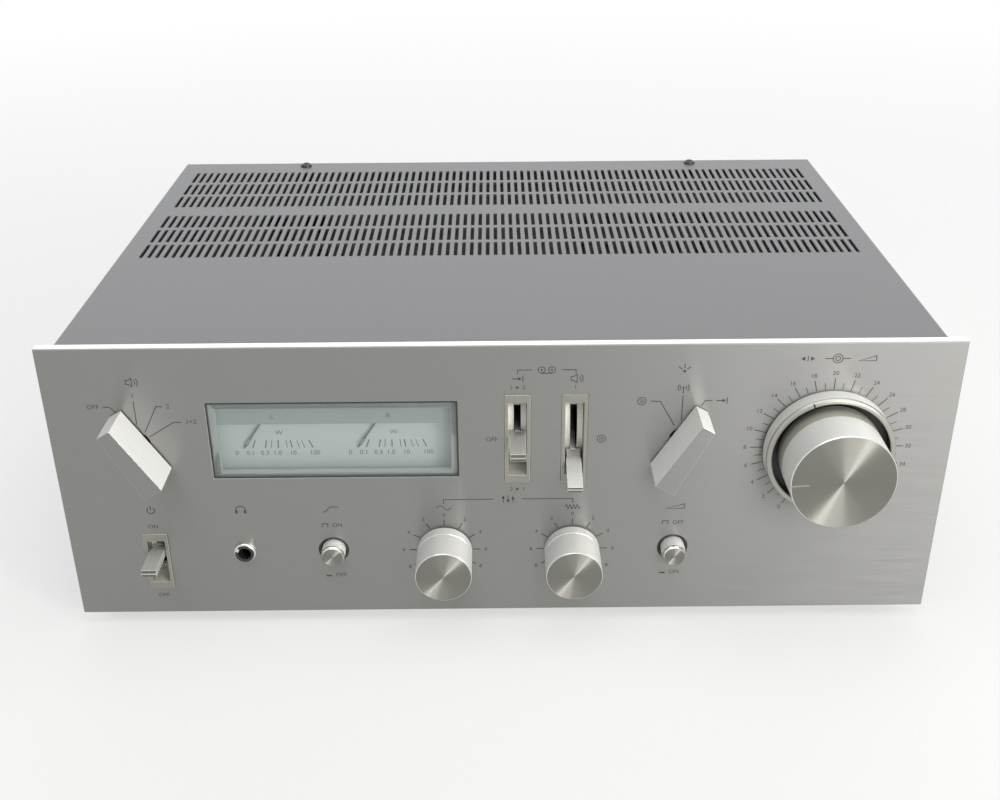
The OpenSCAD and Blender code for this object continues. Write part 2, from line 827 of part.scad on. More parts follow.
module volume_pot() color("silver") at(volume_x, volume_z) difference() {
    union() {
        rod(volume_bush_r, sub_y - bush_l, sub_back);
        rod(volume_pot_r, sub_back, sub_back + volume_pot_l);
    }
    rod(sleeve_r + play, sub_y - bush_l - over, sleeve_end + end_gap);
    rod(shaft_r + play, sub_back, sub_back + volume_pot_l - volume_pot_end);
}

module control_nuts() color("gold") {
    for (x = [speakers_x, function_x]) at(x, high_z) nut(nut_r, bush_r);
    for (x = [bass_x, treble_x]) at(x, low_z) nut(nut_r, bush_r);
    at(volume_x, volume_z) nut(volume_nut_r, volume_bush_r);
}

module nut(r, hole) difference() {
    translate([0, sub_y, 0]) rotate([90, 0, 0]) cylinder(r = r, h = nut_h, $fn = 6);
    rod(hole + press, sub_y - nut_h - over, sub_y + over);
}

// Push buttons
module button(x, pushed) at(x, low_z) {
    face = front_y - button_reach + pushed;
    turned([
        [0, face], [button_r - edge, face], [button_r, face + edge],
        [button_r, face + button_l], [0, face + button_l]
    ]);
    rod(stem_r, face + button_l - join, face + button_l + stem_l);
}

module low_filter_button() color("gainsboro") button(filter_x, button_latch);
module loudness_button() color("gainsboro") button(function_x, 0);

module button_switches() color("dimgray") for (x = [filter_x, function_x]) at(x, low_z) difference() {
    stem_end = front_y - button_reach + button_l + stem_l;
    plate(push_switch[0], push_switch[2], sub_back, sub_back + push_switch[1]);
    rod(stem_r + play, sub_back - over, stem_end + button_travel + end_gap);
}

module button_collars() color("black") for (x = [filter_x, function_x]) at(x, low_z) difference() {
    union() {
        rod(button_hole_r - play, front_y + collar_set, panel_back);
        rod(button_hole_r + collar_lip, panel_back, panel_back + collar_flange);
    }
    rod(button_r + button_room, front_y, panel_back + collar_flange + over);
}

// Levers: a lever turns about X on a pin in its switch body
module lever(angle) translate([0, front_y + pivot_depth, 0]) rotate([angle, 0, 0]) difference() {
    union() {
        pin(hub_r, -stem_w / 2, stem_w / 2);
        block([-stem_w / 2, -drum_r - lever_gap - lap, -stem_t / 2], [stem_w / 2, -stem_root, stem_t / 2]);
        block([-neck_w / 2, -pivot_depth, -neck_t / 2], [neck_w / 2, -drum_r - lever_gap, neck_t / 2]);
        block([-lever_w / 2, -lever_l, -lever_t / 2],
            [lever_w / 2, -pivot_depth + paddle_lap, lever_t / 2]);
    }
    pin(pin_r + play, -lever_w, lever_w);
    block([-lever_w, -lever_l - over, -groove_w / 2], [lever_w, -lever_l + groove_d, groove_w / 2]);
}

// A bezel from its lowest to its highest point, about the lever's pivot height
module bezel(low, high, up, down) difference() {
    union() {
        difference() {
            block([-bezel_w / 2, front_y - bezel_proud, low], [bezel_w / 2, sub_y, high]);
            block([-well_w / 2, front_y - over, low + bezel_end],
                [well_w / 2, sub_y + over, high - bezel_end]);
        }
        intersection() {
            translate([0, front_y + pivot_depth, 0]) difference() {
                pin(drum_r, -bezel_w / 2 + lap, bezel_w / 2 - lap);
                pin(drum_r - drum_wall, -bezel_w, bezel_w);
            }
            block([-bezel_w, front_y, low + lap], [bezel_w, sub_y, high - lap]);
        }
    }
    block(
        [-bezel_slot_w / 2, front_y, -drum_r * sin(down) - stem_t / 2 - swing_room],
        [bezel_slot_w / 2, sub_y + over, drum_r * sin(up) + stem_t / 2 + swing_room]
    );
}

// The switch behind the sub-panel that carries a lever's pin
module lever_switch(h) {
    end_y = sub_back + lever_switch_d;
    inside = lever_switch_w / 2 - lever_switch_wall;
    difference() {
        plate(lever_switch_w, h, sub_back, end_y);
        plate(2 * inside, h - 2 * lever_switch_wall, sub_back - over, end_y - lever_switch_wall);
    }
    translate([0, front_y + pivot_depth, 0]) {
        pin(pin_r, -inside - lap, inside + lap);
        for (s = [0, 1]) mirror([s, 0, 0]) pin(hub_r - lap, stem_w / 2 + spacer_gap, inside + lap);
    }
}

module power_lever() color("gainsboro") at(power_x, power_z) lever(0);
module copy_lever() color("gainsboro") at(copy_x, high_z) lever(0);
module monitor_lever() color("gainsboro") at(monitor_x, high_z) lever(lever_tilt);

module power_bezel() color("darkkhaki") at(power_x, power_z)
    bezel(-power_drop, power_bezel_h - power_drop, power_rise, power_tilt);

module tape_bezels() color("darkkhaki") for (x = [copy_x, monitor_x]) at(x, high_z)
    bezel(-bezel_h / 2, bezel_h / 2, lever_tilt, lever_tilt);

module power_switch() color("dimgray") at(power_x, power_z) lever_switch(power_switch_h);
module tape_switches() color("dimgray") for (x = [copy_x, monitor_x]) at(x, high_z)
    lever_switch(tape_switch_h);

// Headphone jack
module phones_jack() color("black") at(phones_x, low_z) difference() {
    union() {
        rod(jack_bush_r, front_y - ring_nut_h - bush_proud, panel_back);
        plate(jack_body[0], jack_body[2], panel_back, panel_back + jack_body[1]);
    }
    rod(phones_r, front_y - ring_nut_h - over, panel_back + jack_body[1] - jack_end);
}

module phones_nut() color("silver") at(phones_x, low_z) difference() {
    turned([
        [0, front_y], [ring_nut_r, front_y], [ring_nut_r, front_y - ring_nut_h + edge],
        [ring_nut_r - edge, front_y - ring_nut_h], [0, front_y - ring_nut_h]
    ]);
    rod(jack_bush_r + press, front_y - ring_nut_h - over, front_y + over);
}

// Power supply and amplifier
limb_w = core_w / 3;
window_w = core_w / 6;
yoke_h = core_w / 6;

module transformer_core() color("dimgray") translate(transformer_at) difference() {
    block([-core_w / 2, -core_d / 2, 0], [core_w / 2, core_d / 2, core_h]);
    for (s = [0, 1]) mirror([s, 0, 0])
        block([limb_w / 2, -core_d, yoke_h], [limb_w / 2 + window_w, core_d, core_h - yoke_h]);
}

module transformer_coil() color("goldenrod") translate(transformer_at) difference() {
    out_w = limb_w / 2 + window_w - coil_play;
    out_d = core_d / 2 + coil_bulge;
    in_w = limb_w / 2 + coil_play;
    in_d = core_d / 2 + coil_play;
    block([-out_w, -out_d, yoke_h], [out_w, out_d, core_h - yoke_h]);
    block([-in_w, -in_d, 0], [in_w, in_d, core_h]);
}

module heat_sink() color("silver") translate([sink_x, sink_y, pan_top]) {
    block([-sink_w / 2, 0, 0], [sink_w / 2, sink_base, sink_h]);
    for (i = [0:fin_count - 1])
        translate([-sink_w / 2 + i * (sink_w - fin_t) / (fin_count - 1), sink_base - join, fin_rise])
            cube([fin_t, sink_d - sink_base + join, sink_h - fin_rise]);
}

transistor_pitch = sink_w / transistor_count;

module output_transistors() color("black") for (i = [0:transistor_count - 1])
    translate([sink_x + (i - (transistor_count - 1) / 2) * transistor_pitch, 0, pan_top + transistor_rise])
        block([-transistor[0] / 2, sink_y - transistor[1], 0], [transistor[0] / 2, sink_y, transistor[2]]);

// Lowest corner of the main board
board_at = [board_x - board_w / 2, sink_y - board_gap - board_d, pan_top + board_rise];

module main_board() color("darkgreen") translate(board_at) cube([board_w, board_d, board_t]);

module board_posts() color("gold") for (fx = [0, 0.5, 1], fy = [0, 1])
    translate([
        board_at[0] + post_inset + fx * (board_w - 2 * post_inset),
        board_at[1] + post_inset + fy * (board_d - 2 * post_inset),
        pan_top
    ]) cylinder(r = post_r, h = board_rise);

module filter_capacitors() color("midnightblue") for (s = [-1, 1])
    translate(board_at + [board_w / 2 + s * cap_gap / 2, board_d / 2, board_t])
        cylinder(r = cap_r, h = cap_h);

// Rear sockets
function jack_places() = [for (i = [0:jack_count - 1], z = jack_row_z) [jack_x + i * jack_pitch, z]];
function socket_places() = [for (i = [0, 1], z = socket_row_z) [socket_x + i * socket_pitch, z]];

module rca_jacks() color("silver") for (p = jack_places()) at(p[0], p[1]) difference() {
    union() {
        rod(jack_neck_r, rear_in - jack_in, rear_y + jack_neck_l + join);
        rod(jack_r + jack_flange_w, rear_in - jack_flange_t, rear_in);
        rod(jack_r, rear_y + jack_neck_l, rear_y + jack_reach);
    }
    rod(jack_bore_r, rear_y, rear_y + jack_reach + over);
}

module speaker_sockets() color("black") for (p = socket_places()) at(p[0], p[1]) difference() {
    floor_y = rear_y - socket_in + socket_floor;
    union() {
        rod(socket_neck_r, rear_in - socket_in, rear_y + join);
        rod(socket_r, rear_y, rear_y + socket_lip);
    }
    rod(socket_pin_r, floor_y, rear_y + socket_lip + over);
    translate([0, 0, socket_slot_h / 2 - socket_slot_drop])
        plate(socket_slot_w, socket_slot_h, floor_y, rear_y + socket_lip + over);
}

module strain_relief() color("black") at(lead_exit[0], lead_exit[2])
    turned([
        [0, rear_in - boot_in], [boot_neck_r, rear_in - boot_in], [boot_neck_r, rear_y], [boot_r, rear_y],
        [boot_r, rear_y + boot_flange], [boot_r - boot_step, rear_y + boot_flange + boot_step_l],
        [boot_tip_r, rear_y + boot_l], [0, rear_y + boot_l]
    ]);

// Lead
function unit(v) = v / norm(v);

// Travel direction at one point of a route
function heading(route, i) = unit(route[min(i + 1, len(route) - 1)] - route[max(i - 1, 0)]);

// One ring of the flex round a point, its wide side upright
function flex_ring(p, dir, outline) =
    let (side = unit(cross([0, 0, 1], dir)), up = cross(dir, side))
        [for (q = outline) p + q[0] * side + q[1] * up];

// A closed tube of triangles through all the rings
module flex_tube(route, outline) {
    n = len(outline);
    last = len(route) - 1;
    points = [for (i = [0:last]) each flex_ring(route[i], heading(route, i), outline)];
    walls = [for (i = [0:last - 1], k = [0:n - 1]) let (a = i * n + k, b = i * n + (k + 1) % n)
        each [[a, b + n, b], [a, a + n, b + n]]];
    caps = [for (k = [1:n - 2]) each [[0, k, k + 1], [last * n, last * n + k + 1, last * n + k]]];
    polyhedron(points, concat(walls, caps));
}

// Outlines of the flex with eight and with six sides
outline_8 = [for (k = [0:7]) let (a = 22.5 + 45 * k)
    [lead_t / 2 * cos(a) / cos(22.5), lead_w / 2 * sin(a) / cos(22.5)]];
outline_6 = [for (k = [0:5]) let (a = 30 + 60 * k)
    [lead_t / 2 * cos(a) / cos(30), lead_w / 2 * sin(a)]];

// The coil: in on the floor, half a turn to climb, out again on top
all_turns = 2 * coil_turns + 0.5;
// The climbing half turn runs a little further in, clear of the turns on both layers
function climb_share(t) =
    max(0, min(1, 4 * (t - coil_turns) + 1, 4 * (all_turns - coil_turns - t) + 1));
function coil_radius(t) =
    coil_r - coil_step * min(t, coil_turns, all_turns - t) - coil_dip * climb_share(t);
function coil_height(t) = coil_low + coil_rise * min(1, max(0, (t - coil_turns) / 0.5));
function coil_point(t) = let (a = coil_start_angle - 360 * t, r = coil_radius(t))
    [coil_c[0] + r * cos(a), coil_c[1] + r * sin(a), coil_height(t)];
coil_steps = all_turns * loop_rings;
coil_loops = [for (i = [0:coil_steps]) coil_point(i / loop_rings)];
coil_end = [coil_c[0] + coil_tail, coil_c[1] + coil_r, coil_low + coil_rise];
tail_route = [for (share = [0.75, 0.2, 0]) coil_end - [share * coil_tail, 0, 0]];
coil_route = concat([lead_end], coil_loops, tail_route);

// Least gap between two turns of the coil, side by side or one above the other
function turn_gap(a, b) = max(norm([a[0] - b[0], a[1] - b[1]]) - lead_t, abs(a[2] - b[2]) - lead_w);
coil_gap = min([for (i = [0:coil_steps], j = [i + loop_rings / 2:coil_steps])
    turn_gap(coil_loops[i], coil_loops[j])]);
echo(coil_gap = coil_gap);

module lead_start() color("dimgray") flex_tube(lead_route, outline_8);
module lead_coil() color("dimgray") flex_tube(coil_route, outline_6);

module lead_tie() color("black") {
    inner = coil_radius(coil_turns) - lead_t / 2 - tie_gap;
    outer = coil_radius(all_turns - 0.25) + lead_t / 2 + tie_gap;
    top = coil_low + coil_rise + lead_w / 2 + tie_head;
    translate([coil_c[0], coil_c[1] - tie_w / 2, 0]) difference() {
        block([-outer - tie_t, 0, 0], [-inner + tie_t, tie_w, top + tie_t]);
        block([-outer, -over, tie_t], [-inner, tie_w + over, top]);
    }
}

module mains_plug() color("black") translate(coil_end) {
    rotate([0, 90, 0]) rotate_extrude() polygon([
        [0, 0], [plug_neck_r, 0], [plug_neck_end_r, plug_neck_l],
        [plug_r - plug_edge, plug_neck_l + plug_shoulder_l],
        [plug_r, plug_neck_l + plug_shoulder_l + plug_edge], [plug_r, plug_l - plug_edge],
        [plug_r - plug_edge, plug_l], [0, plug_l]
    ]);
    for (s = [-1, 1]) translate([0, s * plug_pin_gap / 2, 0])
        pin(plug_pin_r, plug_l - join, plug_l + plug_pin_l);
}

front_panel();
sub_panel();
chassis_pan();
rear_panel();
top_cover();
feet();
case_screws();
meter_window();
meter_gasket();
meter_housing();
meter_dial();
left_needle();
right_needle();
meter_movements();
meter_lamps();
speakers_knob();
speakers_shaft();
speakers_switch();
function_knob();
function_shaft();
function_switch();
bass_knob();
bass_shaft();
bass_pot();
treble_knob();
treble_shaft();
treble_pot();
volume_knob();
volume_shaft();
balance_ring();
balance_sleeve();
volume_pot();
control_nuts();
low_filter_button();
loudness_button();
button_switches();
button_collars();
power_lever();
power_bezel();
power_switch();
copy_lever();
monitor_lever();
tape_bezels();
tape_switches();
phones_jack();
phones_nut();
transformer_core();
transformer_coil();
heat_sink();
output_transistors();
main_board();
board_posts();
filter_capacitors();
rca_jacks();
speaker_sockets();
strain_relief();
lead_start();
lead_coil();
lead_tie();
mains_plug();
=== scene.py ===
"""Looks of a stereo amplifier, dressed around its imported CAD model. Metres, front panel towards -Y."""

import copy
import math

import bmesh
import bpy
from mathutils import Matrix, Vector


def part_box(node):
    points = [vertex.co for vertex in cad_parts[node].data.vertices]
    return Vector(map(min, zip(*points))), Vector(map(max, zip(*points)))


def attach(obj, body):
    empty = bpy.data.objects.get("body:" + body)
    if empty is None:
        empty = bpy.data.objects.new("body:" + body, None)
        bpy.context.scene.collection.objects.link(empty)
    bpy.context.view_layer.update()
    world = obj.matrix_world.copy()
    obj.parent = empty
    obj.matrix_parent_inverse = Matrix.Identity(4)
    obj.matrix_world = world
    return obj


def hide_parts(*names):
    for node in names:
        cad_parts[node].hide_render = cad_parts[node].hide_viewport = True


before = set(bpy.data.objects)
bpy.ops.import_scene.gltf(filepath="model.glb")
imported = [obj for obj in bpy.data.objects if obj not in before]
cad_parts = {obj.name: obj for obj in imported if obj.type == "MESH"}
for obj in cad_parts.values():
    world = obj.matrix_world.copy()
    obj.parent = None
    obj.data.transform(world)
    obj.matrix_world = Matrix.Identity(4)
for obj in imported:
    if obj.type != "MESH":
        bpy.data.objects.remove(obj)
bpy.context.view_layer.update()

MM = 0.001
FRONT = Vector((0, -1, 0))
REAR = Vector((0, 1, 0))
UP = Vector((0, 0, 1))
RIGHT = Vector((1, 0, 0))

panel_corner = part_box("front_panel")[0]
PANEL_Y = panel_corner.y
PANEL_Z = panel_corner.z

# Points closer than WELD are one. A face looks a way if FACING of its normal goes there. Angles in degrees
WELD = 1e-6
FACING = 0.7
SMOOTH_ANGLE = 30
BEVEL_ANGLE = 35
FLAT_ANGLE = 1


# Small helpers

def link(obj):
    bpy.context.scene.collection.objects.link(obj)
    return obj


def centre(node):
    lo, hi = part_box(node)
    return (lo + hi) / 2


def middle_at(lo, hi, y):
    """The middle of a box, seen from the front, at a given depth."""
    return Vector(((lo.x + hi.x) / 2, y, (lo.z + hi.z) / 2))


def mesh_object(name, bm, materials, smooth_angle=SMOOTH_ANGLE):
    """Makes a shaded object of a bmesh, with edges sharper than smooth_angle kept sharp."""
    bmesh.ops.recalc_face_normals(bm, faces=bm.faces)
    mesh = bpy.data.meshes.new(name)
    bm.to_mesh(mesh)
    bm.free()
    for face in mesh.polygons:
        face.use_smooth = True
    mesh.set_sharp_from_angle(angle=math.radians(smooth_angle))
    for material in materials if isinstance(materials, (list, tuple)) else [materials]:
        mesh.materials.append(material)
    return link(bpy.data.objects.new(name, mesh))


def dress(obj, body, slot, *nodes):
    """Ties a piece to its body and hides the CAD nodes that it stands for. Its slot is not used."""
    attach(obj, body)
    if nodes:
        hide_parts(*nodes)
    return obj


def basis(axis):
    """Two directions square to an axis."""
    across = RIGHT if abs(axis.dot(UP)) > FACING else UP
    side = across.cross(axis).normalized()
    return side, axis.cross(side)


def add_lathe(bm, profile, at, axis, steps, band=None):
    """Turns a profile of (radius, distance) about an axis. band gives each stretch's material index."""
    side, top = basis(axis)
    turns = [2 * math.pi * k / steps for k in range(steps)]
    rings = []
    for radius, distance in profile:
        mid = at + axis * distance
        if radius == 0:
            rings.append([bm.verts.new(mid)] * steps)
            continue
        rings.append([bm.verts.new(mid + (side * math.cos(a) + top * math.sin(a)) * radius) for a in turns])
    for i, (a, b) in enumerate(zip(rings, rings[1:])):
        for k in range(steps):
            j = (k + 1) % steps
            corners = dict.fromkeys((a[k], b[k], b[j], a[j]))
            bm.faces.new(list(corners)).material_index = band[i] if band else 0


def box_cutter(place, lo, hi, materials, look=0):
    """A box to cut with, between two corners measured in its place. look is its material index."""
    size = Vector(hi) - Vector(lo)
    shape = Matrix.Translation((Vector(lo) + Vector(hi)) / 2) @ Matrix.Diagonal((*size, 1))
    bm = bmesh.new()
    bmesh.ops.create_cube(bm, size=1, matrix=shape)
    bmesh.ops.transform(bm, matrix=place, verts=bm.verts)
    for face in bm.faces:
        face.material_index = look
    return mesh_object("cutter", bm, materials)


def cut(obj, cutter):
    """Cuts one mesh out of another for good."""
    modifier = obj.modifiers.new("cut", "BOOLEAN")
    modifier.operation = "DIFFERENCE"
    modifier.solver = "EXACT"
    modifier.object = cutter
    graph = bpy.context.evaluated_depsgraph_get()
    result = bpy.data.meshes.new_from_object(obj.evaluated_get(graph))
    obj.modifiers.clear()
    obj.data = result
    bpy.data.objects.remove(cutter)
    return obj


def cad_copy(node):
    """A bmesh of a CAD node, with its shared points joined."""
    bm = bmesh.new()
    bm.from_mesh(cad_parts[node].data)
    bmesh.ops.remove_doubles(bm, verts=bm.verts, dist=WELD)
    return bm


def islands(node):
    """Lowest and highest corner of each separate solid of a CAD node."""
    bm = cad_copy(node)
    seen = set()
    boxes = []
    for start in bm.verts:
        if start in seen:
            continue
        group, stack = [], [start]
        seen.add(start)
        while stack:
            vert = stack.pop()
            group.append(vert.co.copy())
            for edge in vert.link_edges:
                other = edge.other_vert(vert)
                if other not in seen:
                    seen.add(other)
                    stack.append(other)
        lo = Vector(min(p[i] for p in group) for i in range(3))
        hi = Vector(max(p[i] for p in group) for i in range(3))
        boxes.append((lo, hi))
    bm.free()
    return boxes


def softened(node, body, slot, materials, width, segments=2, pick=None, edges=-1):
    """A copy of a CAD node with rounded edges, in the node's place.

    pick gives a face its material's index, edges is the index for the rounded edges.
    """
    bm = cad_copy(node)
    bmesh.ops.dissolve_limit(bm, angle_limit=math.radians(FLAT_ANGLE), verts=bm.verts, edges=bm.edges)
    if pick:
        bm.normal_update()
        for face in bm.faces:
            face.material_index = pick(face)
    obj = mesh_object(node + "_shell", bm, materials)
    bevel = obj.modifiers.new("edges", "BEVEL")
    bevel.width = width
    bevel.segments = segments
    bevel.limit_method = "ANGLE"
    bevel.angle_limit = math.radians(BEVEL_ANGLE)
    bevel.harden_normals = True
    bevel.material = edges
    return dress(obj, body, slot, node)


def faces_front(face):
    """Index 1 for the faces that look out of the front panel, 0 for the rest. Index 1 takes the dark copy of
    a metal as painted shade, 0 the pale copy as painted light.
    """
    return int(face.normal.y < -FACING)


def faces_up(face):
    """Index 1 for the faces that look up, 0 for the rest. Index 1 takes a paler colour as painted light."""
    return int(face.normal.z > FACING)


# Materials

# Span in which most of a noise texture's values lie
NOISE_LOW = 0.3
NOISE_HIGH = 0.7


def shader(name):
    """A new material with its nodes, its links and its main shader."""
    material = bpy.data.materials.new(name)
    material.use_nodes = True
    tree = material.node_tree
    return material, tree, tree.nodes["Principled BSDF"]


def preset(node, values):
    """Gives inputs of a shader node their values."""
    for name, value in values.items():
        node.inputs[name].default_value = value
    return node


def noise_of(tree, vector, scale, detail=3.0, dimensions="3D"):
    node = preset(tree.nodes.new("ShaderNodeTexNoise"), {"Scale": scale, "Detail": detail})
    node.noise_dimensions = dimensions
    tree.links.new(vector, node.inputs["W" if dimensions == "1D" else "Vector"])
    return node.outputs["Fac"]


def spread(tree, value, low, high, start=NOISE_LOW, end=NOISE_HIGH):
    """Stretches a value, such as a noise's, to a range."""
    node = preset(tree.nodes.new("ShaderNodeMapRange"),
                  {"From Min": start, "From Max": end, "To Min": low, "To Max": high})
    tree.links.new(value, node.inputs["Value"])
    return node.outputs["Result"]


def shade_by(tree, bsdf, value, colour, vary):
    """Base colour that lightens and darkens with a noise value."""
    ramp = tree.nodes.new("ShaderNodeValToRGB")
    dark, light = ramp.color_ramp.elements
    dark.position = NOISE_LOW
    light.position = NOISE_HIGH
    dark.color = (*[c * (1 - vary) for c in colour], 1)
    light.color = (*[min(1, c * (1 + vary)) for c in colour], 1)
    tree.links.new(value, ramp.inputs["Fac"])
    tree.links.new(ramp.outputs["Color"], bsdf.inputs["Base Color"])


def raise_by(tree, bsdf, value, distance, strength):
    """Relief that follows a noise value."""
    bump = preset(tree.nodes.new("ShaderNodeBump"), {"Distance": distance, "Strength": strength})
    tree.links.new(value, bump.inputs["Height"])
    tree.links.new(bump.outputs["Normal"], bsdf.inputs["Normal"])


def surface(name, colour, rough, metal=0.0, grain=(1, 1, 1), scale=900, vary=0.08, rough_vary=0.05,
            bump=0.00002, strength=0.3):
    """A surface with fine grain in its colour, gloss and relief. grain stretches the noise per axis."""
    material, tree, bsdf = shader(name)
    coords = tree.nodes.new("ShaderNodeTexCoord")
    mapping = preset(tree.nodes.new("ShaderNodeMapping"), {"Scale": grain})
    tree.links.new(coords.outputs["Object"], mapping.inputs["Vector"])
    fine = noise_of(tree, mapping.outputs["Vector"], scale)
    shade_by(tree, bsdf, fine, colour, vary)
    tree.links.new(spread(tree, fine, rough - rough_vary, rough + rough_vary), bsdf.inputs["Roughness"])
    raise_by(tree, bsdf, fine, bump, strength)
    preset(bsdf, {"Metallic": metal})
    return material


def brushed(name, colour, rough, direction, grain, anisotropy, scale, vary):
    """Metal with fine lines along its grain. direction is the tangent of its anisotropic gloss."""
    material = surface(name, colour, rough, 1.0, grain, scale, vary,
                       rough_vary=0.06, bump=0.000006, strength=0.25)
    tree = material.node_tree
    bsdf = preset(tree.nodes["Principled BSDF"], {"Anisotropic": anisotropy})
    along = preset(tree.nodes.new("ShaderNodeCombineXYZ"), dict(zip("XYZ", direction)))
    tree.links.new(along.outputs["Vector"], bsdf.inputs["Tangent"])
    return material


def vector_math(tree, operation, first, second=(0, 0, 0)):
    node = preset(tree.nodes.new("ShaderNodeVectorMath"), {1: second})
    node.operation = operation
    tree.links.new(first, node.inputs[0])
    return node.outputs


RINGS_ON_FACE = 160
LINES_ON_SIDE = 3500
QUARTER_TURN = 0.25


def turned(name, colour, rough, spun_face, anisotropy, metal=1.0):
    """Metal turned about Y: rings on a face, or fine lines round a side."""
    material, tree, bsdf = shader(name)
    coords = tree.nodes.new("ShaderNodeTexCoord")
    if spun_face:
        offset = vector_math(tree, "SUBTRACT", coords.outputs["Generated"], (0.5, 0.5, 0.5))
        flat = vector_math(tree, "MULTIPLY", offset["Vector"], (1, 0, 1))
        value = noise_of(tree, vector_math(tree, "LENGTH", flat["Vector"])["Value"], RINGS_ON_FACE, 4, "1D")
    else:
        split = tree.nodes.new("ShaderNodeSeparateXYZ")
        tree.links.new(coords.outputs["Object"], split.inputs[0])
        value = noise_of(tree, split.outputs["Y"], LINES_ON_SIDE, 3, "1D")
    shade_by(tree, bsdf, value, colour, vary=0.06)
    tree.links.new(spread(tree, value, rough - 0.05, rough + 0.07), bsdf.inputs["Roughness"])
    raise_by(tree, bsdf, value, distance=0.000008, strength=0.25)
    tangent = tree.nodes.new("ShaderNodeTangent")
    tangent.direction_type = "RADIAL"
    tangent.axis = "Y"
    tree.links.new(tangent.outputs["Tangent"], bsdf.inputs["Tangent"])
    preset(bsdf, {"Metallic": metal, "Anisotropic": anisotropy, "Anisotropic Rotation": QUARTER_TURN})
    return material


def clear_pane(name, colour, opacity):
    """A thin clear pane with a faint tint."""
    material = surface(name, colour, 0.08, rough_vary=0.02, vary=0.04, bump=0.000002)
    preset(material.node_tree.nodes["Principled BSDF"], {"Alpha": opacity})
    return material


ALONG_X = (0.02, 1, 1)
# Dark copy of the aluminium for the forward faces of the panel and the bar knobs: brushed lines, with a dark
# base as painted shade
PANEL_METAL_SHADED = brushed("panel_metal_painted_shade", (0.28, 0.28, 0.27), 0.42, UP, ALONG_X, 0.9, 1400, 0.03)
# Pale, mostly matt copy of the same aluminium for tops, sides and edges: painted light
BAR_METAL_LIT = surface("bar_metal_painted_light", (0.85, 0.85, 0.83), 0.4, 0.25, scale=1500, vary=0.03)
# Turned aluminium: a pale, mostly matt copy for sides as painted light, and a dark copy for faces as painted
# shade; the spun rings are the faces' finish
SIDE_METAL_LIT = turned("turned_side_painted_light", (0.78, 0.78, 0.76), 0.35, False, 0.6, 0.3)
FACE_METAL_SHADED = turned("spun_face", (0.31, 0.305, 0.275), 0.48, True, 1.0)
EDGE_METAL = surface("turned_edge", (0.70, 0.70, 0.68), 0.25, 1.0, scale=2500, vary=0.03)
# Olive copy for the volume knob's side inside the ring's well, painted shade and painted reflection of the
# well; the volume index line takes it too
SKIRT_SHADE_AND_INDEX_METAL = turned("turned_skirt_painted_shade_and_index", (0.44, 0.43, 0.36), 0.4, False, 0.6, 0.4)
RING_METAL = turned("turned_ring", (0.40, 0.40, 0.36), 0.34, False, 0.6, 0.85)
# Pale and dark copies of the levers' aluminium: pale on tops and sides as painted light, dark on forward
# faces as painted shade
LEVER_METAL_LIT = surface("lever_metal_painted_light", (0.58, 0.58, 0.56), 0.42, 0.5, (1, 0.1, 1), 2000, 0.06)
LEVER_FACE_SHADED = surface("lever_face_painted_shade", (0.13, 0.12, 0.10), 0.45, 0.6, (1, 1, 0.05), 2000, 0.08)
BEZEL_METAL = surface("bezel_metal", (0.27, 0.265, 0.23), 0.45, 0.6, (1, 1, 0.1), 1800, 0.06)
# Paler copy of the bezel metal for the bezels' rounded edges: a painted highlight
BEZEL_EDGE_HIGHLIGHT = surface("bezel_edge_painted_highlight", (0.50, 0.49, 0.44), 0.35, 0.5, scale=2000, vary=0.05)
# Pale colour for the faces of the bezels' wells that look up or forward: painted light
DRUM_METAL_LIT = surface("drum_metal_painted_light", (0.70, 0.68, 0.62), 0.4, 0.4, (0.1, 1, 1), 1800, 0.05)
COVER_PAINT = surface("cover_paint", (0.145, 0.145, 0.15), 0.52, 0.2, scale=1600, vary=0.14,
                      bump=0.00006, strength=0.5)
PLATED = surface("plated_steel", (0.42, 0.42, 0.40), 0.55, 0.6, (1, 1, 0.15), 700, 0.06)
STEEL = surface("turned_steel", (0.62, 0.62, 0.62), 0.3, 1.0, (1, 6, 1), 900, 0.06)
# Black steel of the screws, also painted shade in the balance ring's well
BLACK_STEEL_AND_WELL_SHADE = surface("black_steel", (0.05, 0.05, 0.05), 0.4, 0.6, scale=1200, vary=0.2)
NICKEL = surface("nickel", (0.72, 0.70, 0.65), 0.2, 1.0, vary=0.04)
BRASS = surface("plated_brass", (0.74, 0.66, 0.45), 0.28, 1.0, vary=0.05)
COPPER = surface("winding", (0.52, 0.25, 0.10), 0.35, 0.6, (1, 1, 12), 500, 0.25, bump=0.0001, strength=0.6)
EXTRUDED = surface("extruded_aluminium", (0.62, 0.63, 0.64), 0.38, 1.0, (1, 1, 0.05), 900, 0.06)
LAMINATED = surface("laminations", (0.16, 0.15, 0.14), 0.45, 0.7, (0.1, 14, 0.1), 300, 0.35)
BLACK_PLASTIC = surface("black_plastic", (0.025, 0.025, 0.025), 0.45, scale=1500, vary=0.2)
GLOSS_BLACK = surface("gloss_black", (0.02, 0.02, 0.02), 0.18, vary=0.2, bump=0.000005)
RUBBER = surface("rubber", (0.035, 0.035, 0.035), 0.75, scale=2200, vary=0.25, bump=0.00008, strength=0.5)
PVC = surface("lead_pvc", (0.06, 0.06, 0.06), 0.42, vary=0.15)
PHENOLIC = surface("phenolic", (0.07, 0.045, 0.03), 0.45, scale=300, vary=0.2)
BOARD = surface("board", (0.05, 0.20, 0.08), 0.35, scale=500, vary=0.15)
SLEEVE = surface("capacitor_sleeve", (0.04, 0.07, 0.18), 0.3, scale=700, vary=0.1)
METER_FRAME = surface("meter_frame", (0.29, 0.31, 0.30), 0.45, scale=1200, vary=0.04)
